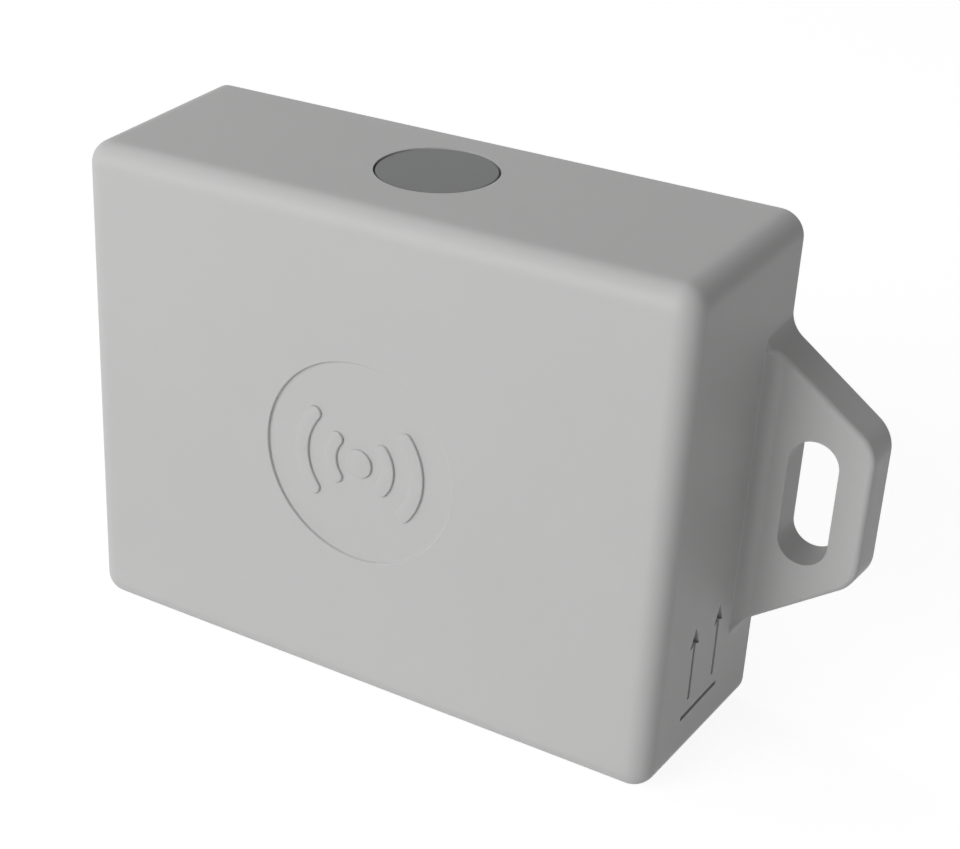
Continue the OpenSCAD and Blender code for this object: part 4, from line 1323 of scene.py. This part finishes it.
# The share that takes shadows, and how bright it is in the open
FLOOR_SHADE, FLOOR_LIT = 0.3, 0.33
CARD = (0.8, 0.8, 0.8)
ends = np.array([-1, 1]) * FLOOR_SIZE / 2
x, y = np.meshgrid(ends, ends, indexing="ij")
points, quads = grid(np.stack([x, y, np.full_like(x, -FLOOR_UNDER)], axis=-1))
floor = new_object("floor", points, quads.tolist())
card = Finish("pale_card", Roughness=0.9, Specular_IOR_Level=0.1)
card.wear(Base_Color=card.shades(CARD, 0.9875, 1.0, card.noise(30.0)))
white = (1 - FLOOR_SHADE * FLOOR_LIT) / (1 - FLOOR_SHADE)
glow = card.node("ShaderNodeEmission", {}, {"Strength": white}).outputs[0]
share = card.looked_at() * (1 - FLOOR_SHADE)
floor_mix = card.read(0, "ShaderNodeMixShader", {}, {0: share, 1: card.shader.outputs[0], 2: glow})
card.give(card.tree.nodes["Material Output"].inputs["Surface"], floor_mix)
floor.data.materials.append(card.material)
print("floor glows with", round(white, 3))

# %% [markdown]
# The surroundings are white for rays that look at them. Their light on the object is a soft dome,
# palest at the horizon and black overhead, as in a light tent whose walls glow. An even dome would
# be simpler, but the roof would come out as pale as the front.

# %% Surroundings
HORIZON, ZENITH = 0.34, 0.0
world = bpy.data.worlds.new("surroundings")
bpy.context.scene.world = world
world.use_nodes = True
sky = Tree(world.node_tree)
way = sky.node("ShaderNodeTexCoord").outputs["Generated"]
height = sky.read("Z", "ShaderNodeSeparateXYZ", {}, {0: way})
dome = sky.spread(height, 0.0, 1.0, HORIZON, ZENITH)
background = sky.tree.nodes["Background"].inputs
sky.give(background["Color"], (1, 1, 1, 1))
sky.give(background["Strength"], sky.spread(sky.looked_at(), 0.0, 1.0, dome, 1.0))
print("dome from", HORIZON, "at the horizon to", ZENITH, "overhead")

# %% [markdown]
# Three soft square lamps light the tag. The key lamp is a little to the left and makes the front
# the brightest face. A weaker one straight in front fills the round edges. The third stands high
# on the left, where it reaches the roof but neither the front nor the right side. One lamp would be
# simpler, but then roof and front couldn't both have the photograph's tones.

# %% Lamps
LAMP_AWAY, LAMP_SIZE = 0.9, 0.5
middle = Vector((0, 0, mid_z * MM))


def soft_lamp(name, azimuth, elevation, power):
    """A square lamp that looks at the object. Azimuth 0 is in front, and 90 is at the right."""
    data = bpy.data.lights.new(name, "AREA")
    data.shape = "SQUARE"
    data.size = LAMP_SIZE
    data.energy = power
    obj = bpy.data.objects.new(name, data)
    a, e = math.radians(azimuth), math.radians(elevation)
    way = Vector((math.sin(a) * math.cos(e), -math.cos(a) * math.cos(e), math.sin(e)))
    obj.location = middle + way * LAMP_AWAY
    obj.rotation_euler = way.to_track_quat("Z", "Y").to_euler()
    bpy.context.scene.collection.objects.link(obj)
    print(name, power, "W at", [round(c, 2) for c in obj.location])


soft_lamp("key_lamp", -22, 24, 4.25)
soft_lamp("front_lamp", 0, 16, 1.06)
soft_lamp("side_lamp", -90, 62, 1.6)

# %% [markdown]
# The camera was fitted to the photograph's outline of the box: where it stands, how it is rolled
# and how long its lens is. It stands close, so near edges run together quickly. Aiming it with a
# Track To constraint would be easier, but it has no room for the roll, and the lens is shifted a
# little, because the picture's middle isn't where the lens points.

# %% Camera
IMAGE_W, IMAGE_H = 960, 849
CAM_AZ, CAM_EL, CAM_ROLL = 29.343, 26.204, 2.775
CAM_DISTANCE = 186.85
CAM_OFFSET = (-2.576, -1.0585)
FOCAL_PX = 1836.1
CENTRE_PX = (442.49, 412.25)
SENSOR = 36.0


def camera_axes(azimuth, elevation, roll):
    """Right, up and back of the camera as rows: turned about the upright, tipped, then rolled."""
    a, e, r = np.radians([azimuth, elevation, roll])
    back = np.array([np.sin(a) * np.cos(e), -np.cos(a) * np.cos(e), np.sin(e)])
    right = np.array([np.cos(a), np.sin(a), 0])
    up = np.cross(back, right)
    spin = np.array([[np.cos(r), np.sin(r), 0], [-np.sin(r), np.cos(r), 0], [0, 0, 1]])
    return spin @ np.array([right, up, back])


axes = camera_axes(CAM_AZ, CAM_EL, CAM_ROLL)
place = axes.T @ np.array([-CAM_OFFSET[0], -CAM_OFFSET[1], CAM_DISTANCE]) + [0, 0, mid_z]
lens = bpy.data.cameras.new("camera")
lens.sensor_width = SENSOR
lens.lens = FOCAL_PX / IMAGE_W * SENSOR
lens.shift_x = (IMAGE_W / 2 - CENTRE_PX[0]) / IMAGE_W
lens.shift_y = (CENTRE_PX[1] - IMAGE_H / 2) / IMAGE_W
lens.clip_start = 0.01
camera = bpy.data.objects.new("camera", lens)
stand = Matrix(np.column_stack([axes.T, place * MM]).tolist())
camera.matrix_world = Matrix([*stand[:], (0, 0, 0, 1)])
bpy.context.scene.collection.objects.link(camera)
bpy.context.scene.camera = camera
bpy.context.scene.view_settings.view_transform = "Standard"
print("lens %.1f mm, shift %.4f %.4f" % (lens.lens, lens.shift_x, lens.shift_y))

# %% [markdown]
# Last, the view layer is brought up to date.

# %% Last update
bpy.context.view_layer.update()
